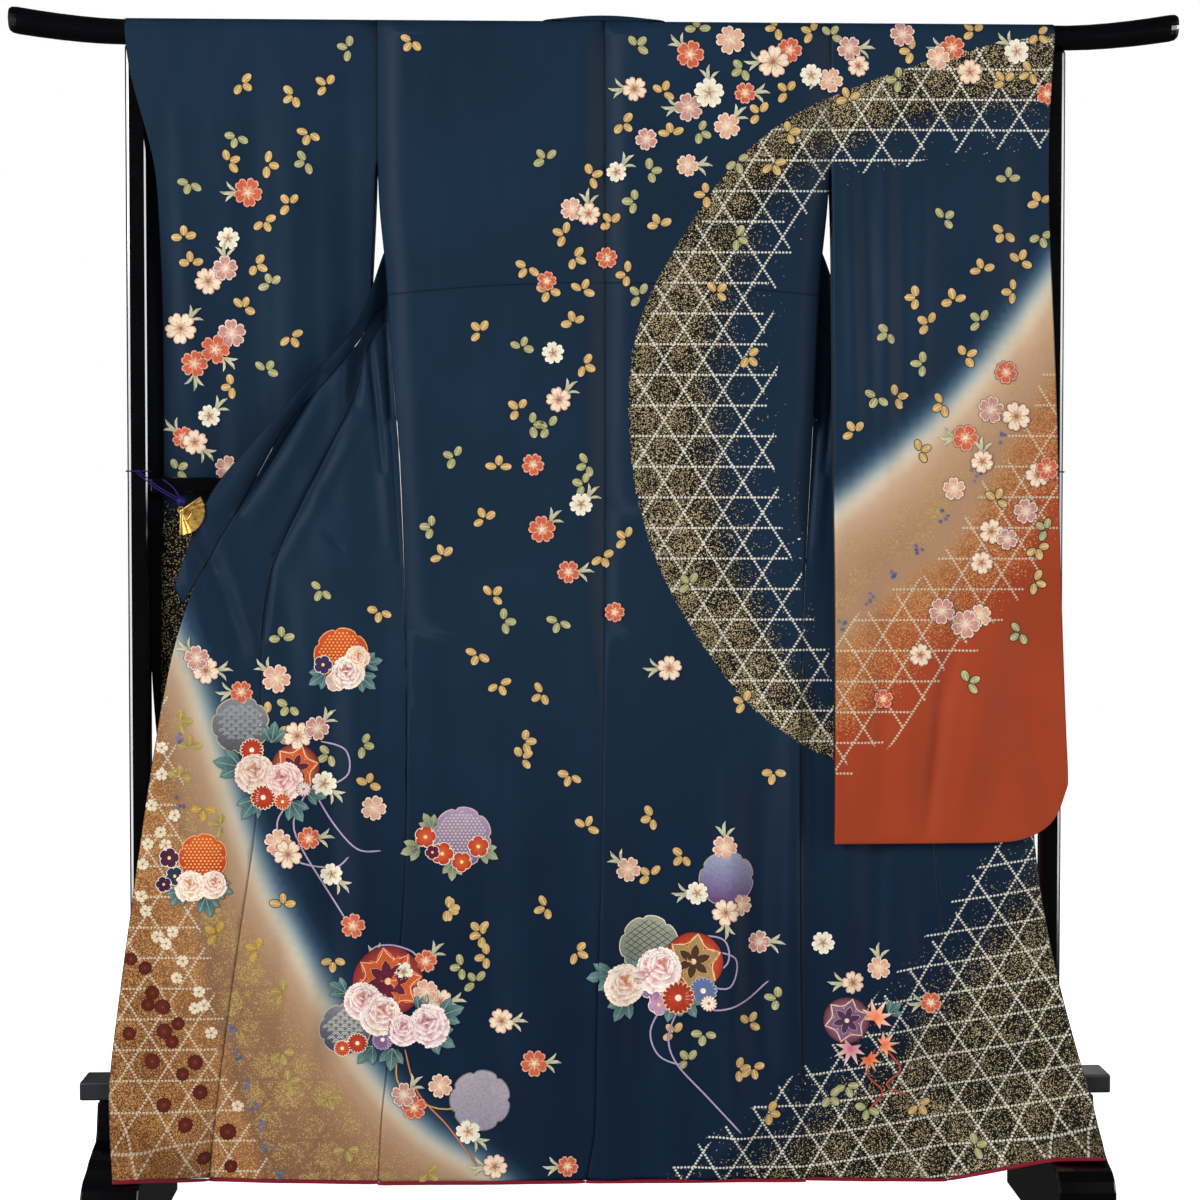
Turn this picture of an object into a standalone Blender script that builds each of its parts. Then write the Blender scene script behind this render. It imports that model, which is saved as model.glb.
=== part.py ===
# A furisode kimono hung back outwards over a lacquered kimono stand.
# Metres, +Z up, origin on the floor under the middle of the stand, back of the garment towards -Y.
import bmesh
import bpy
import math
from mathutils import Vector

# Driving sizes of the cloth, in metres
CLOTH = 0.0012            # wall of the crepe silk with its lining
COLLAR_CLOTH = 0.0024     # the collar is folded double
SEAM_GAP = 0.0005         # between two pieces at a seam
GARMENT_X = 0.0087        # the centre back seam hangs a little right of the stand's middle
BODY_EDGE = 0.325         # centre back to the sleeve seam
LAP = 0.0020              # the front panel's side edge lies this far behind the back panel
HEM_ROLL = 0.0024         # radius of the rolled lining at the hem

# Driving sizes of the stand, in metres
RAIL_HALF_LENGTH = 0.841
RAIL_HALF_DEPTH = 0.017
RAIL_HALF_HEIGHT = 0.018
RAIL_Z = 1.722
RAIL_LIFT = 0.017         # the rail's ends turn up by this much
RAIL_LIFT_FROM = 0.680
RAIL_GAP = 0.0016         # from the rail to the middle of the cloth wall
COLLAR_RAIL_GAP = 0.0026
POST_X = 0.6615
POST_SIDE = 0.030
CROSSBAR_Z = 1.073
CROSSBAR_HEIGHT = 0.024
CROSSBAR_DEPTH = 0.018
PLANK_HALF_LENGTH = 0.747
PLANK_HALF_DEPTH = 0.033
PLANK_BOTTOM = 0.1885
PLANK_HEIGHT = 0.027
FOOT_X = 0.6795
FOOT_WIDTH = 0.081
FOOT_REACH = 0.175
TOUCH = 0.0003            # gap between solids that touch

# The foot's top outline from its middle to its toe
FOOT_TOP = [
    # reach, height
    (0.040, 0.1882),
    (0.050, 0.1480),
    (0.056, 0.1380),
    (0.084, 0.1310),
    (0.109, 0.1235),
    (0.127, 0.1150),
    (0.152, 0.1080),
    (0.168, 0.0970),
    (0.175, 0.0840),
]

# How the back panel leans forward on its way down
BACK_LEAN = [
    # height, depth
    (0.06, -0.0420),
    (0.20, -0.0402),
    (0.55, -0.0345),
    (0.80, -0.0320),
    (1.07, -0.0290),
    (1.40, -0.0245),
    (1.65, -0.0212),
    (1.722, -0.0186),
]

# The centre back seam drifts left towards the hem
CENTRE_SEAM = [
    # height, across
    (0.06, 0.030),
    (0.12, 0.016),
    (0.29, 0.013),
    (0.40, 0.009),
    (0.62, 0.004),
    (0.95, 0.000),
    (1.722, 0.000),
]

# Seams of the opened fronts, from the shoulder down. Across runs outwards from the centre back.
SIDE_SEAM_LEFT = [
    # down, across, height
    (0.05, 0.325, 1.685),
    (0.21, 0.325, 1.530),
    (0.28, 0.322, 1.457),
    (0.34, 0.314, 1.395),
    (0.47, 0.307, 1.268),
    (0.61, 0.295, 1.132),
    (0.87, 0.286, 0.874),
    (1.17, 0.286, 0.574),
    (1.37, 0.297, 0.375),
    (1.57, 0.321, 0.176),
    (1.675, 0.327, 0.071),
]
SIDE_SEAM_RIGHT = [
    # down, across, height
    (0.05, 0.325, 1.685),
    (0.21, 0.325, 1.530),
    (0.28, 0.320, 1.457),
    (0.34, 0.312, 1.395),
    (0.47, 0.305, 1.268),
    (0.61, 0.299, 1.132),
    (0.87, 0.287, 0.874),
    (1.17, 0.283, 0.574),
    (1.37, 0.284, 0.375),
    (1.57, 0.288, 0.176),
    (1.675, 0.291, 0.071),
]
# The front's side edge comes forward under the rail, and from the last row it is lapped to the back
SIDE_DEPTH = [
    # down, depth
    (0.05, 0.0205),
    (0.13, 0.0202),
    (0.21, 0.0180),
    (0.28, -0.0020),
    (0.34, -0.0225),
]
# The slack of the front hangs behind the back panel in one deep pocket, here its near layer
POCKET_NEAR = [
    # down, across, height, depth
    (0.05, 0.235, 1.683, 0.0225),
    (0.13, 0.230, 1.608, 0.0270),
    (0.21, 0.238, 1.515, 0.0200),
    (0.28, 0.230, 1.430, 0.0040),
    (0.34, 0.225, 1.360, 0.0000),
    (0.40, 0.230, 1.300, -0.0020),
    (0.47, 0.250, 1.235, -0.0050),
    (0.53, 0.280, 1.190, -0.0110),
    (0.61, 0.322, 1.152, -0.0165),
    (0.69, 0.320, 1.080, -0.0220),
    (0.78, 0.336, 1.000, -0.0260),
    (0.87, 0.350, 0.905, -0.0285),
]
# and its far layer
POCKET_FAR = [
    # down, across, height, depth
    (0.05, 0.165, 1.686, 0.0240),
    (0.13, 0.178, 1.604, 0.0290),
    (0.17, 0.184, 1.556, 0.0270),
    (0.21, 0.184, 1.508, 0.0220),
    (0.28, 0.184, 1.422, 0.0210),
    (0.34, 0.180, 1.350, 0.0330),
    (0.40, 0.194, 1.292, 0.0380),
    (0.47, 0.222, 1.232, 0.0250),
    (0.53, 0.268, 1.192, 0.0040),
    (0.61, 0.340, 1.165, -0.0135),
    (0.69, 0.360, 1.100, -0.0190),
    (0.78, 0.388, 1.018, -0.0225),
    (0.87, 0.415, 0.930, -0.0262),
]
OKUMI_SEAM = [
    # down, across, height, depth
    (0.34, 0.242, 1.420, 0.0345),
    (0.40, 0.282, 1.350, 0.0220),
    (0.47, 0.320, 1.306, 0.0080),
    (0.53, 0.346, 1.262, 0.0000),
    (0.61, 0.363, 1.190, -0.0090),
    (0.69, 0.401, 1.118, -0.0160),
    (0.78, 0.442, 1.034, -0.0190),
    (0.87, 0.479, 0.953, -0.0240),
    (0.97, 0.493, 0.845, -0.0280),
]
OKUMI_SEAM_LEFT_END = [
    # down, across, height, depth
    (1.17, 0.495, 0.632, -0.0350),
    (1.37, 0.522, 0.447, -0.0375),
    (1.57, 0.553, 0.226, -0.0395),
    (1.675, 0.570, 0.078, -0.0410),
]
OKUMI_SEAM_RIGHT_END = [
    # down, across, height, depth
    (1.17, 0.474, 0.600, -0.0345),
    (1.37, 0.492, 0.400, -0.0370),
    (1.57, 0.498, 0.200, -0.0395),
    (1.675, 0.497, 0.068, -0.0410),
]
COLLAR_SEAM = [
    # down, across, height, depth
    (0.02, 0.092, 1.722, 0.0186),
    (0.05, 0.104, 1.690, 0.0245),
    (0.13, 0.131, 1.612, 0.0350),
    (0.21, 0.178, 1.522, 0.0420),
    (0.28, 0.220, 1.460, 0.0400),
    (0.34, 0.252, 1.412, 0.0330),
    (0.40, 0.293, 1.358, 0.0180),
    (0.47, 0.330, 1.322, 0.0050),
    (0.53, 0.354, 1.282, -0.0040),
    (0.61, 0.395, 1.228, -0.0100),
    (0.69, 0.450, 1.171, -0.0140),
    (0.78, 0.491, 1.103, -0.0175),
    (0.87, 0.529, 1.032, -0.0225),
    (0.97, 0.602, 0.903, -0.0320),
]
FRONT_EDGE_LEFT = [
    # down, across, height, depth
    (1.06, 0.632, 0.780, -0.0355),
    (1.17, 0.657, 0.616, -0.0375),
    (1.37, 0.687, 0.410, -0.0395),
    (1.55, 0.711, 0.225, -0.0430),
    (1.58, 0.711, 0.190, -0.0485),
    (1.61, 0.708, 0.158, -0.0600),
    (1.64, 0.702, 0.1395, -0.0900),
    (1.66, 0.694, 0.1270, -0.1250),
    (1.675, 0.686, 0.1080, -0.1600),
]
FRONT_EDGE_RIGHT = [
    # down, across, height, depth
    (1.06, 0.615, 0.760, -0.0330),
    (1.17, 0.620, 0.590, -0.0345),
    (1.37, 0.648, 0.400, -0.0375),
    (1.55, 0.697, 0.215, -0.0430),
    (1.58, 0.707, 0.185, -0.0490),
    (1.61, 0.711, 0.155, -0.0600),
    (1.64, 0.711, 0.1390, -0.0850),
    (1.66, 0.709, 0.1310, -0.1080),
    (1.675, 0.706, 0.1210, -0.1330),
]
# Where the overlap panel meets the foot's inner side and is carried forward by it
OVER_FOOT_LEFT = [
    # down, across, height, depth
    (1.55, 0.640, 0.222, -0.0430),
    (1.58, 0.644, 0.188, -0.0475),
    (1.61, 0.646, 0.158, -0.0590),
    (1.64, 0.646, 0.1395, -0.0880),
    (1.66, 0.646, 0.1270, -0.1230),
    (1.675, 0.646, 0.1085, -0.1560),
]
OVER_FOOT_RIGHT = [
    # down, across, height, depth
    (1.55, 0.618, 0.212, -0.0430),
    (1.58, 0.624, 0.184, -0.0480),
    (1.61, 0.627, 0.155, -0.0590),
    (1.64, 0.627, 0.1385, -0.0830),
    (1.66, 0.627, 0.1300, -0.1050),
    (1.675, 0.627, 0.1200, -0.1280),
]
# The collar's free edge runs taut from the neck to the clip on the post
COLLAR_EDGE = [
    # down, across, height, depth
    (0.02, 0.080, 1.715, 0.0640),
    (0.05, 0.118, 1.700, 0.0740),
    (0.13, 0.166, 1.651, 0.0700),
    (0.21, 0.215, 1.585, 0.0560),
    (0.28, 0.256, 1.526, 0.0430),
    (0.34, 0.290, 1.466, 0.0220),
    (0.40, 0.317, 1.409, -0.0030),
    (0.47, 0.333, 1.355, -0.0150),
    (0.53, 0.361, 1.295, -0.0200),
    (0.61, 0.403, 1.249, -0.0230),
    (0.69, 0.458, 1.188, -0.0250),
    (0.78, 0.512, 1.124, -0.0265),
    (0.87, 0.566, 1.060, -0.0280),
    (0.97, 0.616, 0.927, -0.0320),
]
# The collar round the back of the neck: its seam, its fold and its free edge
COLLAR_NECK = [
    # across, angle on the rail, fold depth, fold height, edge across, edge depth, edge height
    (0.000, -24, 0.004, 1.7570, 0.000, 0.026, 1.729),
    (0.032, -24, 0.005, 1.7555, 0.030, 0.030, 1.729),
    (0.060, -24, 0.010, 1.7520, 0.056, 0.042, 1.727),
    (0.084, -15, 0.018, 1.7490, 0.066, 0.052, 1.724),
    (0.0895, 15, 0.028, 1.7460, 0.070, 0.058, 1.721),
    (0.0895, 50, 0.038, 1.7380, 0.074, 0.062, 1.718),
]

# Where the rows of cloth lie, from the shoulder down
FRONT_ROWS = [0.05, 0.09, 0.13, 0.17, 0.21, 0.245, 0.28, 0.31, 0.34, 0.37, 0.40, 0.435, 0.47,
              0.50, 0.53, 0.57, 0.61, 0.65, 0.69, 0.735, 0.78, 0.825, 0.87, 0.92, 0.97, 1.06,
              1.17, 1.27, 1.37, 1.47, 1.55, 1.58, 1.61, 1.64, 1.66, 1.675]
OVER_FOOT_FROM = 1.55
BACK_HEIGHTS = [0.070, 0.125, 0.176, 0.275, 0.375, 0.475, 0.574, 0.674, 0.774, 0.874, 0.960,
                1.046, 1.132, 1.203, 1.268, 1.332, 1.395, 1.457, 1.530, 1.610, 1.685]
OKUMI_FROM = 0.34
COLLAR_TO = 0.97
OVER_RAIL = [-90, -60, -30, 0, 30, 60, 90]
NECK_ANGLE = -30          # the back panel ends here on the rail, at the neck

# Soft folds. A fold runs from its first to its second point, across from the centre, left is minus.
BACK_FOLDS = [
    # across 1, height 1, across 2, height 2, half width, forward
    (0.222, 0.56, 0.226, 0.22, 0.038, -0.0030),
    (0.292, 0.80, 0.292, 0.28, 0.030, 0.0040),
    (0.190, 0.17, 0.280, 0.08, 0.040, 0.0060),
    (-0.050, 0.60, -0.010, 0.10, 0.055, 0.0050),
    (-0.190, 0.50, -0.170, 0.08, 0.050, 0.0040),
    (0.110, 0.50, 0.120, 0.08, 0.050, 0.0045),
]
WING_FOLDS = [
    # across 1, height 1, across 2, height 2, half width, forward
    (0.360, 1.14, 0.395, 0.90, 0.030, 0.0060),
    (0.430, 0.95, 0.420, 0.40, 0.045, 0.0050),
    (0.450, 0.42, 0.480, 0.08, 0.045, 0.0065),
    (0.590, 0.85, 0.640, 0.20, 0.035, 0.0050),
    (0.380, 0.40, 0.370, 0.08, 0.040, 0.0050),
]
SLEEVE_FOLDS_LEFT = [
    # across 1, height 1, across 2, height 2, half width, forward
    (0.440, 1.66, 0.452, 0.80, 0.040, 0.0050),
    (0.560, 1.70, 0.585, 1.10, 0.035, 0.0040),
]
SLEEVE_FOLDS_RIGHT = [
    # across 1, height 1, across 2, height 2, half width, forward
    (0.345, 1.52, 0.350, 1.12, 0.026, 0.0050),
    (0.402, 1.60, 0.400, 1.10, 0.030, 0.0050),
    (0.455, 1.60, 0.450, 1.15, 0.030, 0.0045),
    (0.512, 0.86, 0.475, 0.62, 0.030, 0.0040),
    (0.560, 1.55, 0.575, 0.95, 0.045, 0.0050),
]

# Sleeves: depth of the seen and hidden layers at the body side and the cuff side, and their edges
SLEEVE_LEFT = [
    # height, body across, cuff across, hidden cuff across, seen body, seen cuff, hidden body, hidden cuff
    (1.722, 0.326, 0.684, 0.684, -0.0186, -0.0186, 0.0186, 0.0186),
    (1.661, 0.326, 0.678, 0.678, -0.0206, -0.0195, 0.0205, 0.0205),
    (1.600, 0.326, 0.660, 0.662, -0.0215, -0.0190, 0.0200, 0.0215),
    (1.530, 0.326, 0.641, 0.656, -0.0228, -0.0100, 0.0180, 0.0195),
    (1.457, 0.329, 0.640, 0.661, -0.0060, 0.0025, 0.0220, 0.0195),
    (1.395, 0.333, 0.638, 0.662, 0.0090, 0.0100, 0.0290, 0.0205),
    (1.300, 0.338, 0.637, 0.662, 0.0180, 0.0150, 0.0350, 0.0215),
    (1.188, 0.343, 0.637, 0.662, 0.0190, 0.0160, 0.0360, 0.0220),
    (1.073, 0.345, 0.638, 0.662, 0.0170, 0.0160, 0.0340, 0.0220),
    (0.960, 0.346, 0.641, 0.662, 0.0180, 0.0180, 0.0350, 0.0230),
    (0.850, 0.346, 0.643, 0.660, 0.0190, 0.0190, 0.0360, 0.0235),
    (0.720, 0.346, 0.644, 0.653, 0.0200, 0.0200, 0.0370, 0.0240),
    (0.620, 0.346, 0.645, 0.645, 0.0205, 0.0210, 0.0365, 0.0235),
    (0.560, 0.346, 0.645, 0.645, 0.0230, 0.0220, 0.0330, 0.0245),
]
SLEEVE_RIGHT = [
    # height, body across, cuff across, hidden cuff across, seen body, seen cuff, hidden body, hidden cuff
    (1.722, 0.326, 0.650, 0.650, -0.0186, -0.0186, 0.0186, 0.0186),
    (1.661, 0.326, 0.645, 0.632, -0.0206, -0.0215, 0.0205, 0.0200),
    (1.600, 0.326, 0.641, 0.630, -0.0215, -0.0240, 0.0200, 0.0100),
    (1.530, 0.326, 0.639, 0.631, -0.0235, -0.0285, 0.0180, -0.0120),
    (1.457, 0.326, 0.639, 0.639, -0.0330, -0.0345, -0.0060, -0.0305),
    (1.395, 0.325, 0.641, 0.641, -0.0400, -0.0390, -0.0240, -0.0360),
    (1.300, 0.325, 0.645, 0.645, -0.0480, -0.0440, -0.0310, -0.0415),
    (1.188, 0.325, 0.649, 0.649, -0.0540, -0.0480, -0.0370, -0.0455),
    (1.073, 0.326, 0.652, 0.652, -0.0570, -0.0500, -0.0400, -0.0475),
    (0.960, 0.328, 0.655, 0.655, -0.0580, -0.0510, -0.0410, -0.0485),
    (0.850, 0.329, 0.659, 0.659, -0.0590, -0.0520, -0.0425, -0.0495),
    (0.720, 0.329, 0.664, 0.664, -0.0595, -0.0530, -0.0440, -0.0505),
    (0.620, 0.329, 0.667, 0.667, -0.0590, -0.0540, -0.0445, -0.0515),
    (0.560, 0.329, 0.667, 0.667, -0.0560, -0.0550, -0.0465, -0.0525),
]
SLEEVE_HEMS = {"left": 0.549, "right": 0.557}
SLEEVE_CORNER = 0.085     # radius of the sleeve's round outer corner
SLEEVE_COLUMNS = [0.0, 0.12, 0.26, 0.40, 0.54, 0.68, 0.80, 0.90, 0.96, 1.0]

# The fan clip and its cord
FAN_ACROSS = 0.605
FAN_HEIGHT = 1.036
FAN_RADIUS = 0.033
FAN_HUB = 0.0025
FAN_SHEET = 0.0009
RING_RADIUS = 0.0042
RING_WIRE = 0.0010
FAN_PLEATS = 9
FAN_FIRST_ANGLE = 35
FAN_LAST_ANGLE = -92
FAN_PLEAT_DEPTH = 0.0014
KNOT_RADIUS = 0.0075
CORD_RADIUS = 0.0011
STRAND_LIFT = 0.0017      # the two strands lie this far above and below their middle
CORD_HEIGHT = 1.0935      # the cord is looped round the post just above the crossbar


def material(name, colour, roughness, metallic=0.0):
    made = bpy.data.materials.new(name)
    made.use_nodes = True
    shader = made.node_tree.nodes["Principled BSDF"]
    shader.inputs["Base Color"].default_value = (*colour, 1.0)
    shader.inputs["Roughness"].default_value = roughness
    shader.inputs["Metallic"].default_value = metallic
    return made


def finish(name, mesh, look, smooth_angle=40):
    """Make one named object from a mesh and shade its round sides smooth."""
    mesh.materials.append(look)
    mesh.shade_smooth()
    mesh.set_sharp_from_angle(angle=math.radians(smooth_angle))
    made = bpy.data.objects.new(name, mesh)
    bpy.context.scene.collection.objects.link(made)
    return made


def curve_through(rows):
    """Return a function that reads a smooth curve through the rows at any value of the first column."""
    keys = [row[0] for row in rows]
    points = [row[1:] for row in rows]

    def slope(i, column):
        if i == 0 or i == len(keys) - 1:
            j = min(i, len(keys) - 2)
            return (points[j + 1][column] - points[j][column]) / (keys[j + 1] - keys[j])
        return (points[i + 1][column] - points[i - 1][column]) / (keys[i + 1] - keys[i - 1])

    def read(key):
        i = 0
        while i < len(keys) - 2 and key > keys[i + 1]:
            i += 1
        span = keys[i + 1] - keys[i]
        t = min(max((key - keys[i]) / span, 0.0), 1.0)
        a = 2 * t ** 3 - 3 * t ** 2 + 1
        b = t ** 3 - 2 * t ** 2 + t
        c = -2 * t ** 3 + 3 * t ** 2
        d = t ** 3 - t ** 2
        return [a * points[i][k] + b * span * slope(i, k) + c * points[i + 1][k] + d * span * slope(i + 1, k)
                for k in range(len(points[0]))]

    return read


def fold_push(across, height, folds):
    """How far a set of folds pushes the cloth forward at one place."""
    push = 0.0
    here = Vector((across, height))
    for across1, height1, across2, height2, half_width, forward in folds:
        start = Vector((across1, height1))
        along = Vector((across2, height2)) - start
        t = min(max((here - start).dot(along) / along.length_squared, 0.0), 1.0)
        off = (here - start - along * t).length / half_width
        push += forward * math.exp(-off * off) * (0.35 + 0.65 * math.sin(math.pi * (0.1 + 0.8 * t)))
    return push


def over_rail(angle, clear=RAIL_GAP):
    """Depth and height of the cloth's middle on the rail, 0 degrees on top and 90 behind."""
    a = math.radians(angle)
    return (RAIL_HALF_DEPTH + clear) * math.sin(a), RAIL_Z + (RAIL_HALF_HEIGHT + clear) * math.cos(a)


def cloth_mesh(name, verts, faces):
    """Make a cloth's middle surface, cut into triangles across each face's shorter diagonal."""
    triangles = []
    for face in faces:
        if len(face) == 3:
            triangles.append(face)
            continue
        a, b, c, d = face
        if (verts[a] - verts[c]).length <= (verts[b] - verts[d]).length:
            triangles += [(a, b, c), (a, c, d)]
        else:
            triangles += [(a, b, d), (b, c, d)]
    mesh = bpy.data.meshes.new(name)
    mesh.from_pydata([tuple(v) for v in verts], [], triangles)
    mesh.update()
    return mesh


def wall(name, verts, faces, thickness, look):
    """Give a middle surface its thickness and make it a closed solid."""
    made = finish(name, cloth_mesh(name, verts, faces), look, 60)
    solidify = made.modifiers.new("thickness", "SOLIDIFY")
    solidify.thickness = thickness
    solidify.offset = 0.0
    solidify.use_even_offset = False
    solidify.use_rim = True
    return made


def grid_faces(rows, columns, start=0, close_rows=False):
    """Faces of a grid whose points are numbered row by row."""
    faces = []
    for r in range(rows if close_rows else rows - 1):
        for c in range(columns - 1):
            a = start + r * columns + c
            d = start + ((r + 1) % rows) * columns + c
            faces.append((a, a + 1, d + 1, d))
    return faces


def grid_wall(name, grid, thickness, look, close_rows=False):
    verts = [point for row in grid for point in row]
    return wall(name, verts, grid_faces(len(grid), len(grid[0]), 0, close_rows), thickness, look)


def pulled(point, towards, amount):
    return point + (towards - point).normalized() * amount


def through(points, counts):
    """Points on the smooth curve through a few points, with a set number on each stretch."""
    found = []
    for i, count in enumerate(counts):
        before = points[max(i - 1, 0)]
        after = points[min(i + 2, len(points) - 1)]
        a, b = points[i], points[i + 1]
        for k in range(count):
            t = k / count
            found.append(0.5 * ((2 * a) + (b - before) * t + (2 * before - 5 * a + 4 * b - after) * t ** 2
                                + (3 * a - before - 3 * b + after) * t ** 3))
    found.append(points[-1])
    return found


def along_curve(points, steps):
    """Points at equal parts of the smooth curve through a few points."""
    fine = through(points, [12] * (len(points) - 1))
    lengths = [0.0]
    for p, q in zip(fine, fine[1:]):
        lengths.append(lengths[-1] + (q - p).length)
    spaced = []
    j = 0
    for k in range(steps + 1):
        want = lengths[-1] * k / steps
        while j < len(fine) - 2 and lengths[j + 1] < want:
            j += 1
        part = (want - lengths[j]) / max(lengths[j + 1] - lengths[j], 1e-9)
        spaced.append(fine[j].lerp(fine[j + 1], min(max(part, 0.0), 1.0)))
    return spaced


class Side:
    """One half of the garment: its sign and its own seam curves."""

    def __init__(self, name):
        self.name = name
        self.sign = -1 if name == "left" else 1
        left = name == "left"
        self.side = curve_through(SIDE_SEAM_LEFT if left else SIDE_SEAM_RIGHT)
        self.pocket = [curve_through(POCKET_NEAR), curve_through(POCKET_FAR)]
        self.okumi = curve_through(OKUMI_SEAM + (OKUMI_SEAM_LEFT_END if left else OKUMI_SEAM_RIGHT_END))
        self.seam = curve_through(COLLAR_SEAM + (FRONT_EDGE_LEFT if left else FRONT_EDGE_RIGHT))
        self.edge = curve_through(COLLAR_EDGE)
        self.over_foot = curve_through(OVER_FOOT_LEFT if left else OVER_FOOT_RIGHT)

    def place(self, across, depth, height):
        return Vector((GARMENT_X + self.sign * across, depth, height))

    def at(self, curve, down):
        across, height, depth = curve(down)
        return self.place(across, depth, height)

    def at_side(self, down):
        """The front panel's side edge, free at the armhole and lapped behind the back panel below it."""
        across, height = self.side(down)
        depth = side_depth(down)[0] if down < SIDE_DEPTH[-1][0] else back_lean(height)[0] + LAP
        return self.place(across, depth, height)

    def folded(self, point, folds):
        """Move a point forward by the folds that cross it."""
        push = fold_push((point.x - GARMENT_X) * self.sign, point.z, folds)
        return Vector((point.x, point.y - push, point.z))

    def front_row(self, down):
        """The front panel's row from its side seam to the okumi seam, or to the collar above that."""
        start = self.at_side(down)
        end = self.at(self.okumi if down > OKUMI_FROM else self.seam, down)
        straight = [start.lerp(end, part) for part in POCKET_SHARES]
        bent = straight
        if down < POCKET_NEAR[-1][0]:
            bent = [self.at(layer, down) for layer in self.pocket]
        fade = min(max((POCKET_NEAR[-1][0] - down) / 0.08, 0.0), 1.0)
        knots = [start] + [p.lerp(q, fade) for p, q in zip(straight, bent)] + [end]
        row = through(knots, FRONT_COLUMNS)
        if down > OKUMI_FROM + 0.2:
            fade = min((down - OKUMI_FROM - 0.2) / 0.1, 1.0)
            count = len(row) - 1
            row = [p.lerp(self.folded(p, WING_FOLDS), fade * math.sin(math.pi * i / count))
                   for i, p in enumerate(row)]
        return row

    def okumi_row(self, down):
        """The overlap panel's row, with one point where it meets the foot."""
        start = self.at(self.okumi, down)
        end = self.at(self.seam, down)
        fade = min(max((down - OVER_FOOT_FROM + 0.2) / 0.2, 0.0), 1.0)
        bend = start.lerp(end, 0.5).lerp(self.at(self.over_foot, down), fade)
        row = [start, start.lerp(bend, 0.5), bend, bend.lerp(end, 0.5), end]
        if down > OVER_FOOT_FROM:
            return row
        return [p.lerp(self.folded(p, WING_FOLDS), math.sin(math.pi * i / 4)) for i, p in enumerate(row)]


back_lean = curve_through(BACK_LEAN)
side_depth = curve_through(SIDE_DEPTH)
centre_seam = curve_through(CENTRE_SEAM)
BACK_COLUMNS = [0.0, 0.142, 0.283, 0.37, 0.46, 0.55, 0.64, 0.73, 0.82, 0.91, 1.0]
NECK_COLUMNS = 2          # columns of the back panel that end at the neck
FRONT_COLUMNS = [3, 2, 3]  # from the side seam to the pocket, round it, and on to the okumi seam
FRONT_STEPS = sum(FRONT_COLUMNS)
POCKET_SHARES = [0.375, 0.625]


def back_point(side, column, height, edge_across):
    middle = centre_seam(height)[0]
    inner = -middle if side.sign > 0 else middle
    inner += SEAM_GAP / 2
    across = inner + (edge_across - inner) * column
    depth = back_lean(height)[0]
    point = side.place(across, depth, height)
    signed = across * side.sign
    push = fold_push(signed, height, BACK_FOLDS)
    return Vector((point.x, point.y - push * math.sin(math.pi * min(column, 0.5)), point.z))


def side_across(side, height):
    """Across of the side seam at a height, read from the seam's own curve."""
    low, high = 0.05, 1.675
    for _ in range(30):
        middle = (low + high) / 2
        if side.side(middle)[1] > height:
            low = middle
        else:
            high = middle
    return side.side(low)[0]


def build_body(side, look):
    """One length of cloth from the back hem over the rail to the front hem, with the neck cut out."""
    columns = len(BACK_COLUMNS)
    verts = []
    faces = []
    rows = 0
    for height in BACK_HEIGHTS:
        edge = side_across(side, height)
        verts += [back_point(side, column, height, edge) for column in BACK_COLUMNS]
        rows += 1
    for angle in OVER_RAIL:
        if angle > NECK_ANGLE:
            break
        depth, height = over_rail(angle)
        verts += [side.place(SEAM_GAP / 2 + (BODY_EDGE - SEAM_GAP / 2) * column, depth, height)
                  for column in BACK_COLUMNS]
        rows += 1
    faces += grid_faces(rows, columns)

    narrow = columns - NECK_COLUMNS
    first = len(verts)
    neck_across = BODY_EDGE * BACK_COLUMNS[NECK_COLUMNS]
    front = []
    for angle in OVER_RAIL:
        if angle <= NECK_ANGLE:
            continue
        depth, height = over_rail(angle)
        front.append([side.place(neck_across + (BODY_EDGE - neck_across) * i / FRONT_STEPS, depth, height)
                      for i in range(FRONT_STEPS + 1)])
    for down in FRONT_ROWS:
        row = side.front_row(down)
        row[-1] = pulled(row[-1], row[-2], SEAM_GAP)
        front.append(row[::-1])
    for row in front:
        verts += row
    last_back = (rows - 1) * columns + NECK_COLUMNS
    for c in range(narrow - 1):
        faces.append((last_back + c, last_back + c + 1, first + c + 1, first + c))
    faces += grid_faces(len(front), narrow, first)
    wall("body_" + side.name, verts, faces, CLOTH, look)


def build_okumi(side, look):
    """The narrow overlap panel, from its point under the collar to the hem."""
    grid = []
    for down in FRONT_ROWS:
        if down < OKUMI_FROM + 0.05:
            continue
        row = side.okumi_row(down)
        first = pulled(row[0], row[1], SEAM_GAP)
        last = row[-1]
        if down <= COLLAR_TO:
            last = pulled(row[-1], row[-2], SEAM_GAP + 0.0004)
        grid.append([first, *row[1:-1], last])
    grid_wall("okumi_" + side.name, grid, CLOTH, look)


def collar_row(side, down):
    seam = side.at(side.seam, down)
    edge = side.at(side.edge, down)
    bow = Vector((0, -0.003, 0)) if down > 0.5 else Vector((0, 0, 0))
    start = pulled(seam, edge, 0.0012)
    start.y += 0.0022 * min(max((0.30 - down) / 0.15, 0.0), 1.0)
    return [start, start.lerp(edge, 0.5) + bow, edge]


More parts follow.
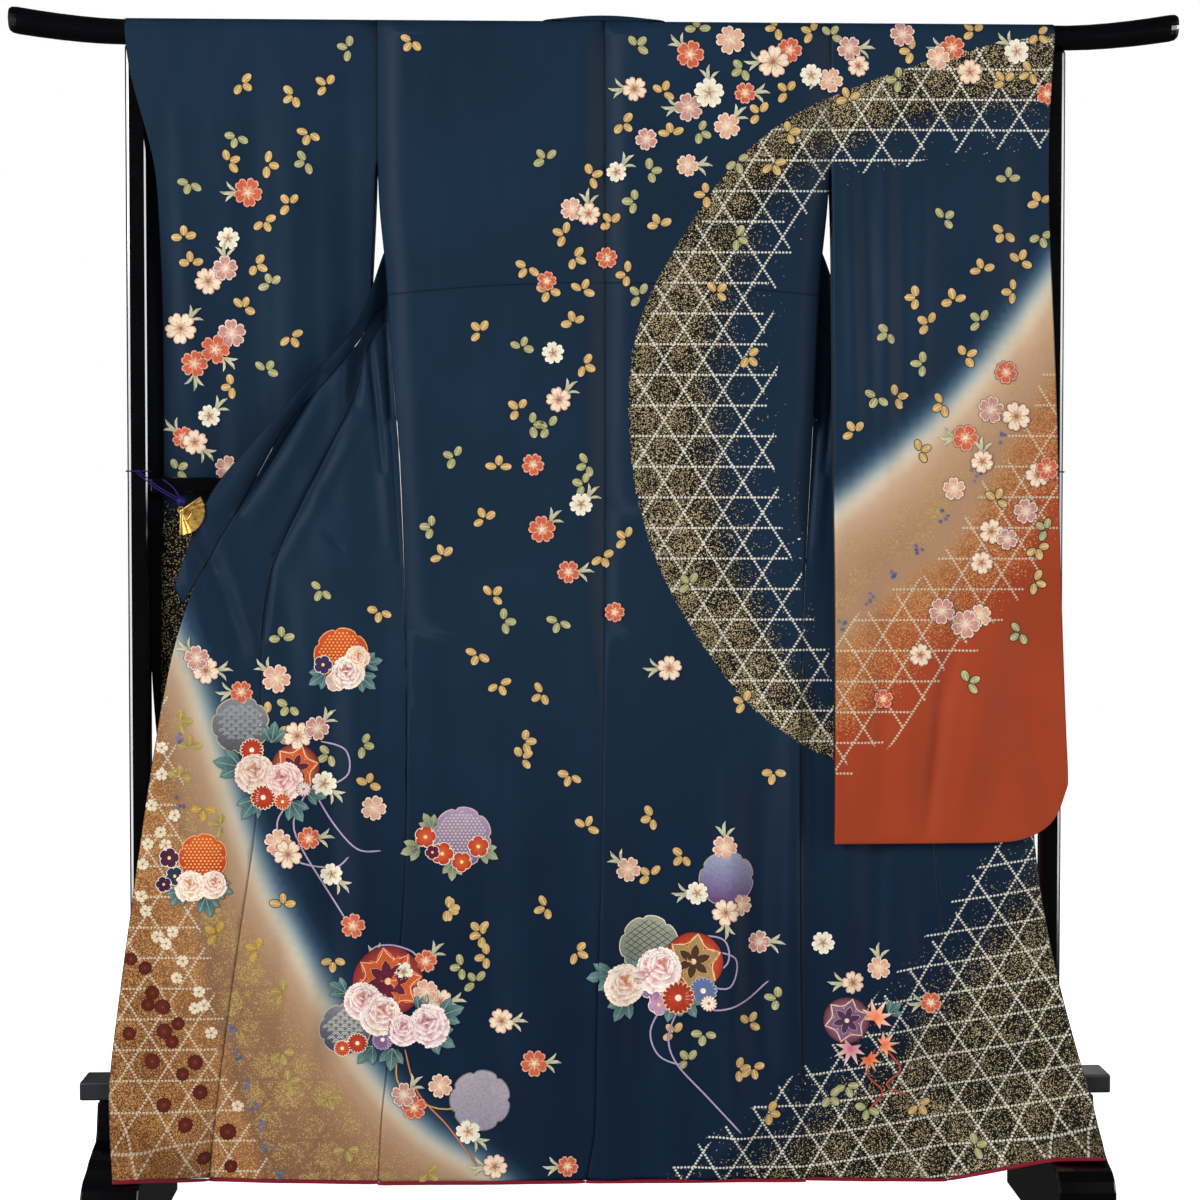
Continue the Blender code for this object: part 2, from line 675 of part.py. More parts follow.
def build_collar(sides, look):
    """One double band from the left front round the neck to the right front."""
    grid = []
    downs = [0.02] + [down for down in FRONT_ROWS if down <= COLLAR_TO]
    left, right = sides
    for down in reversed(downs):
        grid.append(collar_row(left, down))
    neck = COLLAR_NECK[::-1] + COLLAR_NECK[1:]
    for i, (across, angle, fold_depth, fold_height, edge_across, edge_depth, edge_height) in enumerate(neck):
        side = left if i < len(COLLAR_NECK) else right
        seam = side.place(across, *over_rail(angle, COLLAR_RAIL_GAP))
        grid.append([seam, side.place((across + edge_across) / 2, fold_depth, fold_height),
                     side.place(edge_across, edge_depth, edge_height)])
    for down in downs:
        grid.append(collar_row(right, down))
    grid_wall("collar", grid, COLLAR_CLOTH, look)


def build_sleeve(side, rows, folds, look):
    """A long bag over the rail: open at the body side and at the cuff's upper part."""
    hem = SLEEVE_HEMS[side.name]

    def layer_point(row, column, hidden):
        height, body, cuff, hidden_cuff, seen_body, seen_cuff, hidden_body, hidden_cuff_depth = row
        across = body + SEAM_GAP / 2 + ((hidden_cuff if hidden else cuff) - body) * column
        if hidden:
            depth = hidden_body + (hidden_cuff_depth - hidden_body) * column
        else:
            depth = seen_body + (seen_cuff - seen_body) * column
        width = (1 - column) * (cuff - body)
        lift = 0.0
        if width < SLEEVE_CORNER:
            lift = SLEEVE_CORNER - math.sqrt(SLEEVE_CORNER ** 2 - (SLEEVE_CORNER - width) ** 2)
        bend = 0.72
        if height < bend:
            height = bend + (height - bend) * (bend - hem - lift) / (bend - hem)
        point = side.place(across, depth, height)
        inside = math.sin(math.pi * column)
        calm = min(max((1.70 - height) / 0.08, 0.0), 1.0)
        push = fold_push(across, height, folds) * inside * calm
        return Vector((point.x, point.y - push, point.z))

    ring = []
    for row in reversed(rows):
        ring.append([layer_point(row, column, False) for column in SLEEVE_COLUMNS])
    for angle in OVER_RAIL[1:-1]:
        depth, height = over_rail(angle)
        top = rows[0]
        ring.append([side.place(top[1] + SEAM_GAP / 2 + (top[2] - top[1]) * column, depth, height)
                     for column in SLEEVE_COLUMNS])
    for row in rows:
        ring.append([layer_point(row, column, True) for column in SLEEVE_COLUMNS])
    bottom = []
    for seen, hidden in zip(ring[0], ring[-1]):
        middle = (seen + hidden) / 2
        drop = 0.4 * abs(seen.y - hidden.y)
        bottom.append(Vector((middle.x, middle.y, middle.z - max(drop, 0.0016))))
    ring.append(bottom)
    grid_wall("sleeve_" + side.name, ring, CLOTH, look, close_rows=True)


def tube(name, points, radius, look, sides=2):
    """A round cord or roll along a path, with closed ends."""
    curve = bpy.data.curves.new(name, "CURVE")
    curve.dimensions = "3D"
    curve.bevel_depth = radius
    curve.bevel_resolution = sides
    curve.use_fill_caps = True
    spline = curve.splines.new("POLY")
    spline.points.add(len(points) - 1)
    for slot, point in zip(spline.points, points):
        slot.co = (*point, 1.0)
    curve.materials.append(look)
    made = bpy.data.objects.new(name, curve)
    bpy.context.scene.collection.objects.link(made)
    return made


def build_hem_rolls(side, look):
    """The burgundy lining rolls out a little under each panel's hem."""
    last, before = FRONT_ROWS[-1], FRONT_ROWS[-2]

    def rolled(hem, row_above, gap=0.0004):
        path = [pulled(p, above, -HEM_ROLL - gap) for p, above in zip(hem, row_above)]
        path[0] = pulled(path[0], path[1], 0.003)
        path[-1] = pulled(path[-1], path[-2], 0.003)
        return path

    low, high = [[back_point(side, column, height, side_across(side, height)) for column in BACK_COLUMNS]
                 for height in BACK_HEIGHTS[:2]]
    paths = {
        "back": rolled(low, high),
        "front": rolled(side.front_row(last), side.front_row(before)),
        "okumi": rolled(side.okumi_row(last), side.okumi_row(before), 0.0009),
    }
    for label, path in paths.items():
        tube("hem_roll_" + label + "_" + side.name, path, HEM_ROLL, look, 1)


def loft(name, sections, look, smooth_angle=40):
    """A closed solid through rings of points, capped at both ends."""
    bm = bmesh.new()
    rings = [[bm.verts.new(point) for point in section] for section in sections]
    count = len(rings[0])
    for a, b in zip(rings, rings[1:]):
        for i in range(count):
            j = (i + 1) % count
            bm.faces.new((a[i], a[j], b[j], b[i]))
    bm.faces.new(rings[0][::-1])
    bm.faces.new(rings[-1])
    bmesh.ops.recalc_face_normals(bm, faces=bm.faces)
    mesh = bpy.data.meshes.new(name)
    bm.to_mesh(mesh)
    bm.free()
    return finish(name, mesh, look, smooth_angle)


def build_rail(look):
    """Oval top rail whose ends turn up and swell a little."""
    stations = [-RAIL_HALF_LENGTH, -RAIL_HALF_LENGTH + 0.004, -RAIL_HALF_LENGTH + 0.012]
    stations += [-0.80, -0.77, -0.74, -0.71, -0.68, -0.60, -0.30]
    stations += [0.0] + [-x for x in reversed(stations)]
    sections = []
    for x in stations:
        t = min(max((abs(x) - RAIL_LIFT_FROM) / (RAIL_HALF_LENGTH - RAIL_LIFT_FROM), 0.0), 1.0)
        from_end = RAIL_HALF_LENGTH - abs(x)
        round_off = 1.0
        if from_end < 0.012:
            round_off = 0.80 + 0.20 * math.sqrt(max(1 - (1 - from_end / 0.012) ** 2, 0.0))
        half_height = (RAIL_HALF_HEIGHT + 0.0015 * t) * round_off
        half_depth = RAIL_HALF_DEPTH * round_off
        middle = RAIL_Z + RAIL_LIFT * t ** 1.6
        ring = []
        for k in range(20):
            a = 2 * math.pi * k / 20
            ring.append((x, half_depth * math.cos(a), middle + half_height * math.sin(a)))
        sections.append(ring)
    loft("rail", sections, look)


def bar(name, middle, size, round_by, look, segments=3):
    """A straight bar with rounded long edges."""
    bm = bmesh.new()
    bmesh.ops.create_cube(bm, size=1.0)
    bmesh.ops.scale(bm, vec=size, verts=bm.verts)
    bmesh.ops.bevel(bm, geom=bm.edges[:], offset=round_by, segments=segments, profile=0.5,
                    affect="EDGES", clamp_overlap=True)
    bmesh.ops.translate(bm, vec=middle, verts=bm.verts)
    mesh = bpy.data.meshes.new(name)
    bm.to_mesh(mesh)
    bm.free()
    return finish(name, mesh, look)


def build_stand(lacquer, satin):
    build_rail(lacquer)
    post_bottom = PLANK_BOTTOM + PLANK_HEIGHT + TOUCH
    post_top = RAIL_Z - RAIL_HALF_HEIGHT - TOUCH
    for name, sign in (("left", -1), ("right", 1)):
        bar("post_" + name, (sign * POST_X, 0, (post_top + post_bottom) / 2),
            (POST_SIDE, POST_SIDE, post_top - post_bottom), 0.006, lacquer)
        build_foot("foot_" + name, sign * FOOT_X, lacquer)
    bar_length = 2 * (POST_X - POST_SIDE / 2 - TOUCH)
    bar("crossbar", (0, 0, CROSSBAR_Z), (bar_length, CROSSBAR_DEPTH, CROSSBAR_HEIGHT), 0.004, lacquer, 2)
    bar("plank", (0, 0, PLANK_BOTTOM + PLANK_HEIGHT / 2),
        (2 * PLANK_HALF_LENGTH, 2 * PLANK_HALF_DEPTH, PLANK_HEIGHT), 0.003, satin, 2)


def build_foot(name, x, look):
    """A beam that runs front to back, with a stepped and sloping top."""
    outline = [(-FOOT_REACH, 0.0), (FOOT_REACH, 0.0)]
    outline += [(reach, height) for reach, height in reversed(FOOT_TOP)]
    outline += [(-reach, height) for reach, height in FOOT_TOP]
    bm = bmesh.new()
    verts = [bm.verts.new((x - FOOT_WIDTH / 2, y, z)) for y, z in outline]
    face = bm.faces.new(verts)
    grown = bmesh.ops.extrude_face_region(bm, geom=[face])
    moved = [v for v in grown["geom"] if isinstance(v, bmesh.types.BMVert)]
    bmesh.ops.translate(bm, vec=(FOOT_WIDTH, 0, 0), verts=moved)
    bmesh.ops.recalc_face_normals(bm, faces=bm.faces)
    rims = [e for e in bm.edges if any(abs(f.normal.x) > 0.9 for f in e.link_faces)
            and max(v.co.z for v in e.verts) > 0.001]
    bmesh.ops.bevel(bm, geom=rims, offset=0.003, segments=2, profile=0.5, affect="EDGES", clamp_overlap=True)
    mesh = bpy.data.meshes.new(name)
    bm.to_mesh(mesh)
    bm.free()
    finish(name, mesh, look)


def collar_front(side, across, height):
    """The depth of the collar's seen face near a place on the side's clip."""
    best = None
    for k in range(60):
        down = 0.74 + 0.0035 * k
        row = collar_row(side, down)
        fine = [row[0].lerp(row[1], i / 8) for i in range(9)] + [row[1].lerp(row[2], i / 8) for i in range(9)]
        for p in fine:
            off = math.hypot((p.x - GARMENT_X) * side.sign - across, p.z - height)
            if off < FAN_RADIUS and (best is None or p.y < best):
                best = p.y
    return best - COLLAR_CLOTH / 2


def build_fan(side, look):
    """A folding fan in metal, pleated round its pivot."""
    back = collar_front(side, FAN_ACROSS, FAN_HEIGHT) - TOUCH
    middle = back - FAN_PLEAT_DEPTH - FAN_SHEET / 2
    rings = []
    steps = FAN_PLEATS * 2
    for i in range(steps + 1):
        angle = math.radians(FAN_FIRST_ANGLE + (FAN_LAST_ANGLE - FAN_FIRST_ANGLE) * i / steps)
        ridge = FAN_PLEAT_DEPTH * (1 if i % 2 else -1)
        column = []
        for radius, share in ((FAN_HUB, 0.25), (FAN_RADIUS * 0.6, 0.8), (FAN_RADIUS, 1.0)):
            column.append(Vector((GARMENT_X + side.sign * FAN_ACROSS + radius * math.cos(angle) * -side.sign,
                                  middle + ridge * share,
                                  FAN_HEIGHT + radius * math.sin(angle))))
        rings.append(column)
    made = grid_wall("fan_clip_" + side.name, rings, FAN_SHEET, look)
    made.data.set_sharp_from_angle(angle=math.radians(15))
    return middle


def build_ring(side, depth, look):
    """A small ring that links the fan's pivot and the knot. Returns its own depth."""
    depth -= FAN_PLEAT_DEPTH / 2 + FAN_SHEET / 2 + TOUCH + RING_WIRE
    middle = side.place(FAN_ACROSS, depth, FAN_HEIGHT + RING_RADIUS - FAN_HUB)
    bm = bmesh.new()
    rings = []
    for i in range(14):
        a = 2 * math.pi * i / 14
        out = Vector((math.cos(a), 0, math.sin(a)))
        rings.append([bm.verts.new(middle + out * (RING_RADIUS + RING_WIRE * math.cos(b))
                                   + Vector((0, RING_WIRE * math.sin(b), 0)))
                      for b in [2 * math.pi * k / 6 for k in range(6)]])
    for i in range(14):
        for k in range(6):
            here, there = rings[i], rings[(i + 1) % 14]
            bm.faces.new((here[k], here[(k + 1) % 6], there[(k + 1) % 6], there[k]))
    bmesh.ops.recalc_face_normals(bm, faces=bm.faces)
    mesh = bpy.data.meshes.new("fan_ring_" + side.name)
    bm.to_mesh(mesh)
    bm.free()
    finish("fan_ring_" + side.name, mesh, look, 60)
    return depth


def knot_place(side, depth):
    """The knot's middle and its half sizes. It sits on top of the fan's ring."""
    ring_top = FAN_HEIGHT + 2 * RING_RADIUS - FAN_HUB + RING_WIRE
    half = Vector((1.0, 0.72, 0.85)) * KNOT_RADIUS
    return side.place(FAN_ACROSS, depth, ring_top + TOUCH + half.z), half


def beside_knot(knot, half, out):
    """Where a cord that leaves the knot in one direction starts."""
    surface = 1 / math.sqrt(sum((out[k] / half[k]) ** 2 for k in range(3)))
    return knot + out * (surface + 3 * TOUCH)


def build_cord(side, depth, look):
    """A knot above the fan's ring, a loop round the post and two strands between them."""
    knot, half = knot_place(side, depth)
    bm = bmesh.new()
    bmesh.ops.create_icosphere(bm, subdivisions=2, radius=1.0)
    bmesh.ops.scale(bm, vec=half, verts=bm.verts)
    bmesh.ops.translate(bm, vec=knot, verts=bm.verts)
    mesh = bpy.data.meshes.new("cord_knot_" + side.name)
    bm.to_mesh(mesh)
    bm.free()
    finish("cord_knot_" + side.name, mesh, look, 60)

    post = side.sign * POST_X
    reach = POST_SIDE / 2 + CORD_RADIUS + TOUCH + 0.0004
    loop = []
    for k in range(20):
        a = 2 * math.pi * (k + 0.5) / 20
        wide = abs(math.cos(a)) ** 0.42 * math.copysign(1, math.cos(a))
        deep = abs(math.sin(a)) ** 0.42 * math.copysign(1, math.sin(a))
        loop.append(Vector((post + reach * wide, reach * deep, CORD_HEIGHT)))
    made = tube("cord_loop_" + side.name, loop, CORD_RADIUS, look)
    made.data.splines[0].use_cyclic_u = True

    start = Vector((post, -reach - 2 * CORD_RADIUS - TOUCH, CORD_HEIGHT))
    out = (start - knot).normalized()
    end = beside_knot(knot, half, out)
    across = Vector((-out.z, 0, out.x)).normalized() * side.sign * STRAND_LIFT
    for label, lift in (("upper", across), ("lower", -across)):
        path = along_curve([start + lift, start.lerp(end, 0.5) + lift + Vector((0, -0.002, -0.003)),
                            end + lift], 10)
        tube("cord_" + label + "_" + side.name, path, CORD_RADIUS, look)


def build_tail(side, depth, look):
    """The cord's free end stands up beside the knot."""
    knot, half = knot_place(side, depth)
    out = Vector((side.sign * 0.35, 0.0, 0.94)).normalized()
    foot = beside_knot(knot, half, out) - out * TOUCH
    path = along_curve([foot, foot + Vector((side.sign * 0.008, -0.001, 0.013)),
                        foot + Vector((side.sign * 0.023, 0.001, 0.025))], 8)
    tube("cord_tail_" + side.name, path, CORD_RADIUS, look)


def main():
    for old in list(bpy.data.objects):
        bpy.data.objects.remove(old, do_unlink=True)

    silk = material("silk_navy", (0.014, 0.031, 0.065), 0.62)
    lining = material("silk_burgundy", (0.205, 0.006, 0.021), 0.55)
    lacquer = material("lacquer_black", (0.003, 0.003, 0.004), 0.12)
    satin = material("lacquer_satin", (0.027, 0.029, 0.034), 0.38)
    gilt = material("brass_gilt", (0.57, 0.32, 0.04), 0.30, 1.0)
    cord = material("cord_purple", (0.042, 0.010, 0.352), 0.60)

    sides = [Side("left"), Side("right")]
    build_stand(lacquer, satin)
    for side in sides:
        build_body(side, silk)
        build_okumi(side, silk)
        build_hem_rolls(side, lining)
        ring_depth = build_ring(side, build_fan(side, gilt), gilt)
        build_cord(side, ring_depth, cord)
        if side.name == "left":
            build_tail(side, ring_depth, cord)
    build_collar(sides, silk)
    build_sleeve(sides[0], SLEEVE_LEFT, SLEEVE_FOLDS_LEFT, silk)
    build_sleeve(sides[1], SLEEVE_RIGHT, SLEEVE_FOLDS_RIGHT, silk)


main()
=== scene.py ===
# Furisode kimono, hung back outwards over a black lacquered kimono stand
import bmesh
import bpy
import math
import numpy as np
import random
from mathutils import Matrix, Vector
from mathutils.bvhtree import BVHTree
from mathutils.kdtree import KDTree


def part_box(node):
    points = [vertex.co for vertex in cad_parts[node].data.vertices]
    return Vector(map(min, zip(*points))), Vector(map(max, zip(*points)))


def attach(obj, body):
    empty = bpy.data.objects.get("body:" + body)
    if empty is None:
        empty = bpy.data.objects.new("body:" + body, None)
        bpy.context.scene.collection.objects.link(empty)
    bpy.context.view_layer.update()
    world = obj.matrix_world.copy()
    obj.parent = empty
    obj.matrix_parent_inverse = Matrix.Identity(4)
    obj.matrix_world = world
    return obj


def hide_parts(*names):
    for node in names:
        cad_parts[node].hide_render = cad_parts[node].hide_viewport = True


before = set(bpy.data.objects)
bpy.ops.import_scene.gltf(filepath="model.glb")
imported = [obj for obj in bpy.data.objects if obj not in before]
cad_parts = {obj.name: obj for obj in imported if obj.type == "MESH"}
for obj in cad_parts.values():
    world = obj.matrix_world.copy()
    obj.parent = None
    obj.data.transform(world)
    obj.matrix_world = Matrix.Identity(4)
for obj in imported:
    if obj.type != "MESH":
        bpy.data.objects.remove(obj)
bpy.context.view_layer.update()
bpy.ops.object.select_all(action="DESELECT")

centreX = 0.0087          # the garment's centre back hangs a little right of the stand's middle
mm = 0.001


def linear(hexColour):
    values = [int(hexColour[i:i + 2], 16) / 255 for i in (1, 3, 5)]
    return tuple(v / 12.92 if v <= 0.04045 else ((v + 0.055) / 1.055) ** 2.4 for v in values) + (1.0,)


def newMaterial(name):
    made = bpy.data.materials.new(name)
    made.use_nodes = True
    tree = made.node_tree
    return made, tree, tree.nodes["Principled BSDF"]


def add(tree, kind, links=(), out=0, **settings):
    # one node with its settings, its inputs joined or given a value; gives back one of its outputs
    node = tree.nodes.new("ShaderNode" + kind)
    for key, value in settings.items():
        setattr(node, key, value)
    for socket, value in links.items() if isinstance(links, dict) else enumerate(links):
        if isinstance(value, bpy.types.NodeSocket):
            tree.links.new(value, node.inputs[socket])
        else:
            node.inputs[socket].default_value = value
    return node.outputs[out]


# the cloth panels: shells made on the CAD's own forms
cloth = {"wall": 1.2 * mm, "collarWall": 2.4 * mm, "levels": 3, "seamReach": 3.2 * mm, "sideReach": 6.5 * mm,
         "seamStep": 0.8 * mm, "seamLap": 0.05 * mm, "sharp": 9 * mm}


def outerSide(nodeName, wallThickness, overRail):
    # the outer face of a closed cloth wall, as a mesh of quads
    bm = bmesh.new()
    bm.from_mesh(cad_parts[nodeName].data)
    bmesh.ops.remove_doubles(bm, verts=bm.verts, dist=0.02 * mm)
    bm.normal_update()
    # a rim face is the only kind with an edge as long as the wall is thick
    rims = [f for f in bm.faces
            if min(abs(e.calc_length() - wallThickness) for e in f.edges) < 0.03 * wallThickness]
    bmesh.ops.delete(bm, geom=rims, context="FACES")
    parts = []
    unseen = set(bm.faces)
    while unseen:
        part, front = [], [unseen.pop()]
        while front:
            face = front.pop()
            part.append(face)
            for edge in face.edges:
                for other in edge.link_faces:
                    if other in unseen:
                        unseen.remove(other)
                        front.append(other)
        parts.append(part)
    parts.sort(key=len, reverse=True)
    if overRail:
        kept = max(parts[:2], key=lambda part: max(v.co.z for f in part for v in f.verts))
    else:
        kept = min(parts[:2], key=lambda part: sum(f.normal.y * f.calc_area() for f in part))
    bmesh.ops.delete(bm, geom=list(set(bm.faces) - set(kept)), context="FACES")
    bmesh.ops.join_triangles(bm, faces=bm.faces, angle_face_threshold=3.1, angle_shape_threshold=3.1,
                             topology_influence=1.0)
    return bm


def newPiece(name, bm):
    mesh = bpy.data.meshes.new(name)
    bm.to_mesh(mesh)
    bm.free()
    piece = bpy.data.objects.new(name, mesh)
    bpy.context.scene.collection.objects.link(piece)
    return piece


def applyAll(piece):
    bpy.ops.object.select_all(action="DESELECT")
    bpy.context.view_layer.objects.active = piece
    piece.select_set(True)
    for modifier in list(piece.modifiers):
        bpy.ops.object.modifier_apply(modifier=modifier.name)
    piece.select_set(False)


def smoothed(piece, levels):
    smooth = piece.modifiers.new("smooth", "SUBSURF")
    smooth.levels = smooth.render_levels = levels
    smooth.boundary_smooth = "PRESERVE_CORNERS"
    applyAll(piece)
    return piece


def clothShell(nodeName, pieceName, wallThickness=cloth["wall"], overRail=True):
    return smoothed(newPiece(pieceName, outerSide(nodeName, wallThickness, overRail)), cloth["levels"])


def dress(piece, nodeName=None, materials=()):
    # what every piece has: smooth faces, its materials, a place under the root body, and the CAD node that it stands
    # for hidden
    for polygon in piece.data.polygons:
        polygon.use_smooth = True
    for material in materials:
        piece.data.materials.append(material)
    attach(piece, "root")
    if nodeName:
        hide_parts(nodeName)


# where each dyed colour lies: broad lines in mm, across from the centre back seam and height above the floor
groundLines = {
    "archOuter": [(660, 1726), (510, 1696), (370, 1648), (262, 1598), (176, 1522), (118, 1438), (70, 1354),
                  (42, 1270), (36, 1170), (50, 1046), (98, 916), (192, 776), (280, 704), (338, 676)],
    "archInner": [(660, 1568), (516, 1562), (410, 1540), (304, 1498), (260, 1428), (240, 1350), (234, 1260),
                  (235, 1150), (246, 1040), (272, 930), (302, 846), (338, 762)],
    "hemNet": [(582, 567), (536, 522), (478, 438), (418, 366), (336, 270), (220, 184), (114, 106), (50, 44)],
    "dusk": [(-636, 905), (-592, 802), (-546, 662), (-490, 504), (-436, 402), (-354, 250), (-266, 146),
             (-180, 90), (-134, 50)],
    "ember": [(-650, 846), (-626, 706), (-604, 564), (-570, 362), (-534, 220), (-502, 118), (-488, 44)],
    "duskSleeve": [(298, 1024), (392, 1101), (484, 1186), (564, 1282), (632, 1376), (672, 1440)],
    "emberSleeve": [(650, 1246), (580, 1130), (500, 990), (404, 912), (298, 808)],
    "rustSleeve": [(684, 1160), (632, 990), (544, 874), (454, 772), (358, 676), (298, 616)],
}
# the corner that closes each line round its own colour
closedBy = {
    "archOuter": [(1500, 676), (1500, 1726)], "archInner": [(1500, 762), (1500, 1568)],
    "hemNet": [(50, -500), (1500, -500), (1500, 567)], "dusk": [(-134, -500), (-1500, -500), (-1500, 905)],
    "ember": [(-488, -500), (-1500, -500), (-1500, 846)], "duskSleeve": [(1500, 1440), (1500, -500), (298, -500)],
    "emberSleeve": [(298, -500), (1500, -500), (1500, 1246)], "rustSleeve": [(298, -500), (1500, -500), (1500, 1160)],
}


def smoothLine(points, steps=8):
    points = [np.array(p, float) for p in points]
    line = []
    for i in range(len(points) - 1):
        before, after = points[max(i - 1, 0)], points[min(i + 2, len(points) - 1)]
        a, b = points[i], points[i + 1]
        for k in range(steps):
            t = k / steps
            line.append(0.5 * (2 * a + (b - before) * t + (2 * before - 5 * a + 4 * b - after) * t ** 2
                               + (3 * a - before - 3 * b + after) * t ** 3))
    return line + [points[-1]]


def reachInto(name, across, height):
    # distance in metres past one of the ground lines, above 0 on the side of its colour
    line = smoothLine(groundLines[name])
    ring = np.array(line + [np.array(p, float) for p in closedBy[name]]) * mm
    nearest = np.full(len(across), 9.0)
    for (ax, az), (bx, bz) in zip(line, line[1:]):
        ax, az, bx, bz = ax * mm, az * mm, bx * mm, bz * mm
        t = np.clip(((across - ax) * (bx - ax) + (height - az) * (bz - az))
                    / ((bx - ax) ** 2 + (bz - az) ** 2 + 1e-12), 0, 1)
        nearest = np.minimum(nearest, np.hypot(across - ax - t * (bx - ax), height - az - t * (bz - az)))
    inside = np.zeros(len(across), bool)
    for i in range(len(ring)):
        (ax, az), (bx, bz) = ring[i - 1], ring[i]
        if az != bz:
            crosses = ((az > height) != (bz > height)) & (across < (bx - ax) * (height - az) / (bz - az) + ax)
            inside ^= crosses
    return np.where(inside, nearest, -nearest)


def gradient(value, stops):
    # stops of metres and sRGB colour, mixed in linear light
    at = [stop[0] for stop in stops]
    colours = np.array([linear(stop[1])[:3] for stop in stops])
    return np.stack([np.interp(value, at, colours[:, k]) for k in range(3)], axis=1)


def rise(value, low, high):
    t = np.clip((value - low) / (high - low), 0, 1)
    return t * t * (3 - 2 * t)


dye = {
    "navy": "#17293c",
    # near-black ground of the left sleeve below the crossbar: partly dark dye, partly painted shade
    "night": "#07080b",
    "duskBody": [(-0.040, "#17293c"), (-0.024, "#2a4157"), (-0.013, "#576d7c"), (-0.003, "#8e9a99"),
                 (0.006, "#b8b0a0"), (0.016, "#b9a489"), (0.026, "#aa8d72"), (0.050, "#9a785d"), (0.090, "#8a674c"),
                 (0.220, "#71503a"), (0.400, "#674831")],
    "duskSleeve": [(-0.040, "#17293c"), (-0.024, "#2a4157"), (-0.013, "#576d7c"), (-0.003, "#94a09f"),
                   (0.006, "#c0b8a8"), (0.016, "#c8b49a"), (0.026, "#bd9f84"), (0.050, "#b28f72"), (0.090, "#a37f62")],
    "emberBody": [(-0.012, "#7e5c42"), (0.016, "#835a3a"), (0.080, "#704829"), (0.200, "#5b3720")],
    "emberSleeve": [(-0.014, "#a78266"), (0.012, "#97603f"), (0.050, "#9a4c2d"), (0.100, "#9a4024"),
                    (0.2, "#973d23")],
    "netSpacing": 44.0 * mm,
    "netStretch": 1.12,
}
tuck = {"middle": 1.3640, "drop": 0.187}     # the stitched tuck across the back bows up at the centre


def archDye(across, height, front):
    # the right side: the arch of net and gold dust on the navy, and the net that rises from the hem
    outer = reachInto("archOuter", across, height)
    inner = -reachInto("archInner", across, height)
    band = outer / np.maximum(outer + inner, 1e-4)
    net = np.minimum(outer, inner + 0.002) - front
    dust = np.where(outer > -0.02, 0.33 * (1 - rise(band, 0.20, 0.84)) + 0.008 * (inner > -0.02), 0)
    dust = np.where(inner > -0.03, dust, 0) * (1 - front)
    hem = reachInto("hemNet", across, height)
    net = np.where((hem > net) & (height < 0.65), hem - 0.004, net)
    dust = np.where(height < 0.66, 0.02 * rise(hem, -0.01, 0.03) + 0.23 * rise(hem, 0.035, 0.13), dust)
    return {"net": net, "dust": dust, "dustEdge": np.maximum(net, np.where(height < 0.66, hem, outer))}


def nightAndShadeDye(height):
    # the left sleeve: below the stand's crossbar its ground turns near-black under gold dust, partly dye, partly
    # painted shade
    low = 1.075 - height
    return {"colour": gradient(low, [(0.0, dye["navy"]), (0.05, dye["night"])]),
            "dust": 0.15 * rise(low, 0.02, 0.07), "dustEdge": low}


def duskColour(dusk, duskStops, ember, emberStops, share):
    return gradient(dusk, duskStops) * (1 - share[:, None]) + gradient(ember, emberStops) * share[:, None]


def duskDye(across, height):
    # the left side: navy fades into brown and tan, with the net low down at its edge
    dusk = reachInto("dusk", across, height)
    ember = reachInto("ember", across, height)
    return {"colour": duskColour(dusk, dye["duskBody"], ember, dye["emberBody"], rise(ember, -0.014, 0.018)),
            "net": ember, "dustEdge": ember + 0.03, "dust": 0.44 * rise(ember, -0.012, 0.012),
            "cells": 0.46 * rise(dusk, 0.016, 0.080) * (1 - rise(ember, -0.018, 0.0)),
            "warm": rise(dusk, -0.01, 0.03), "navyHere": rise(-dusk, 0.02, 0.07)}


def sleeveDye(across, height):
    # the right sleeve: the arch above, then tan and rust with a band of net between them
    laid = archDye(across, height, 0.0)
    dusk = reachInto("duskSleeve", across, height) - 0.008
    ember = reachInto("emberSleeve", across, height)
    rust = reachInto("rustSleeve", across, height)
    below = dusk > -0.10
    faded = 0.46 * rise(ember, -0.014, 0.010) * (1 - rise(ember, 0.050, 0.125))
    return {"colour": duskColour(dusk, dye["duskSleeve"], ember, dye["emberSleeve"], rise(ember, -0.012, 0.020)),
            "net": np.where(below, np.minimum(ember, -rust + 0.006), laid["net"]),
            "dustEdge": np.where(below, ember + 0.03, laid["dustEdge"]), "dust": np.where(below, faded, laid["dust"]),
            "cells": 0.44 * rise(dusk, 0.030, 0.080) * (1 - rise(ember, -0.040, -0.020)),
            "warm": rise(dusk, -0.01, 0.03)}


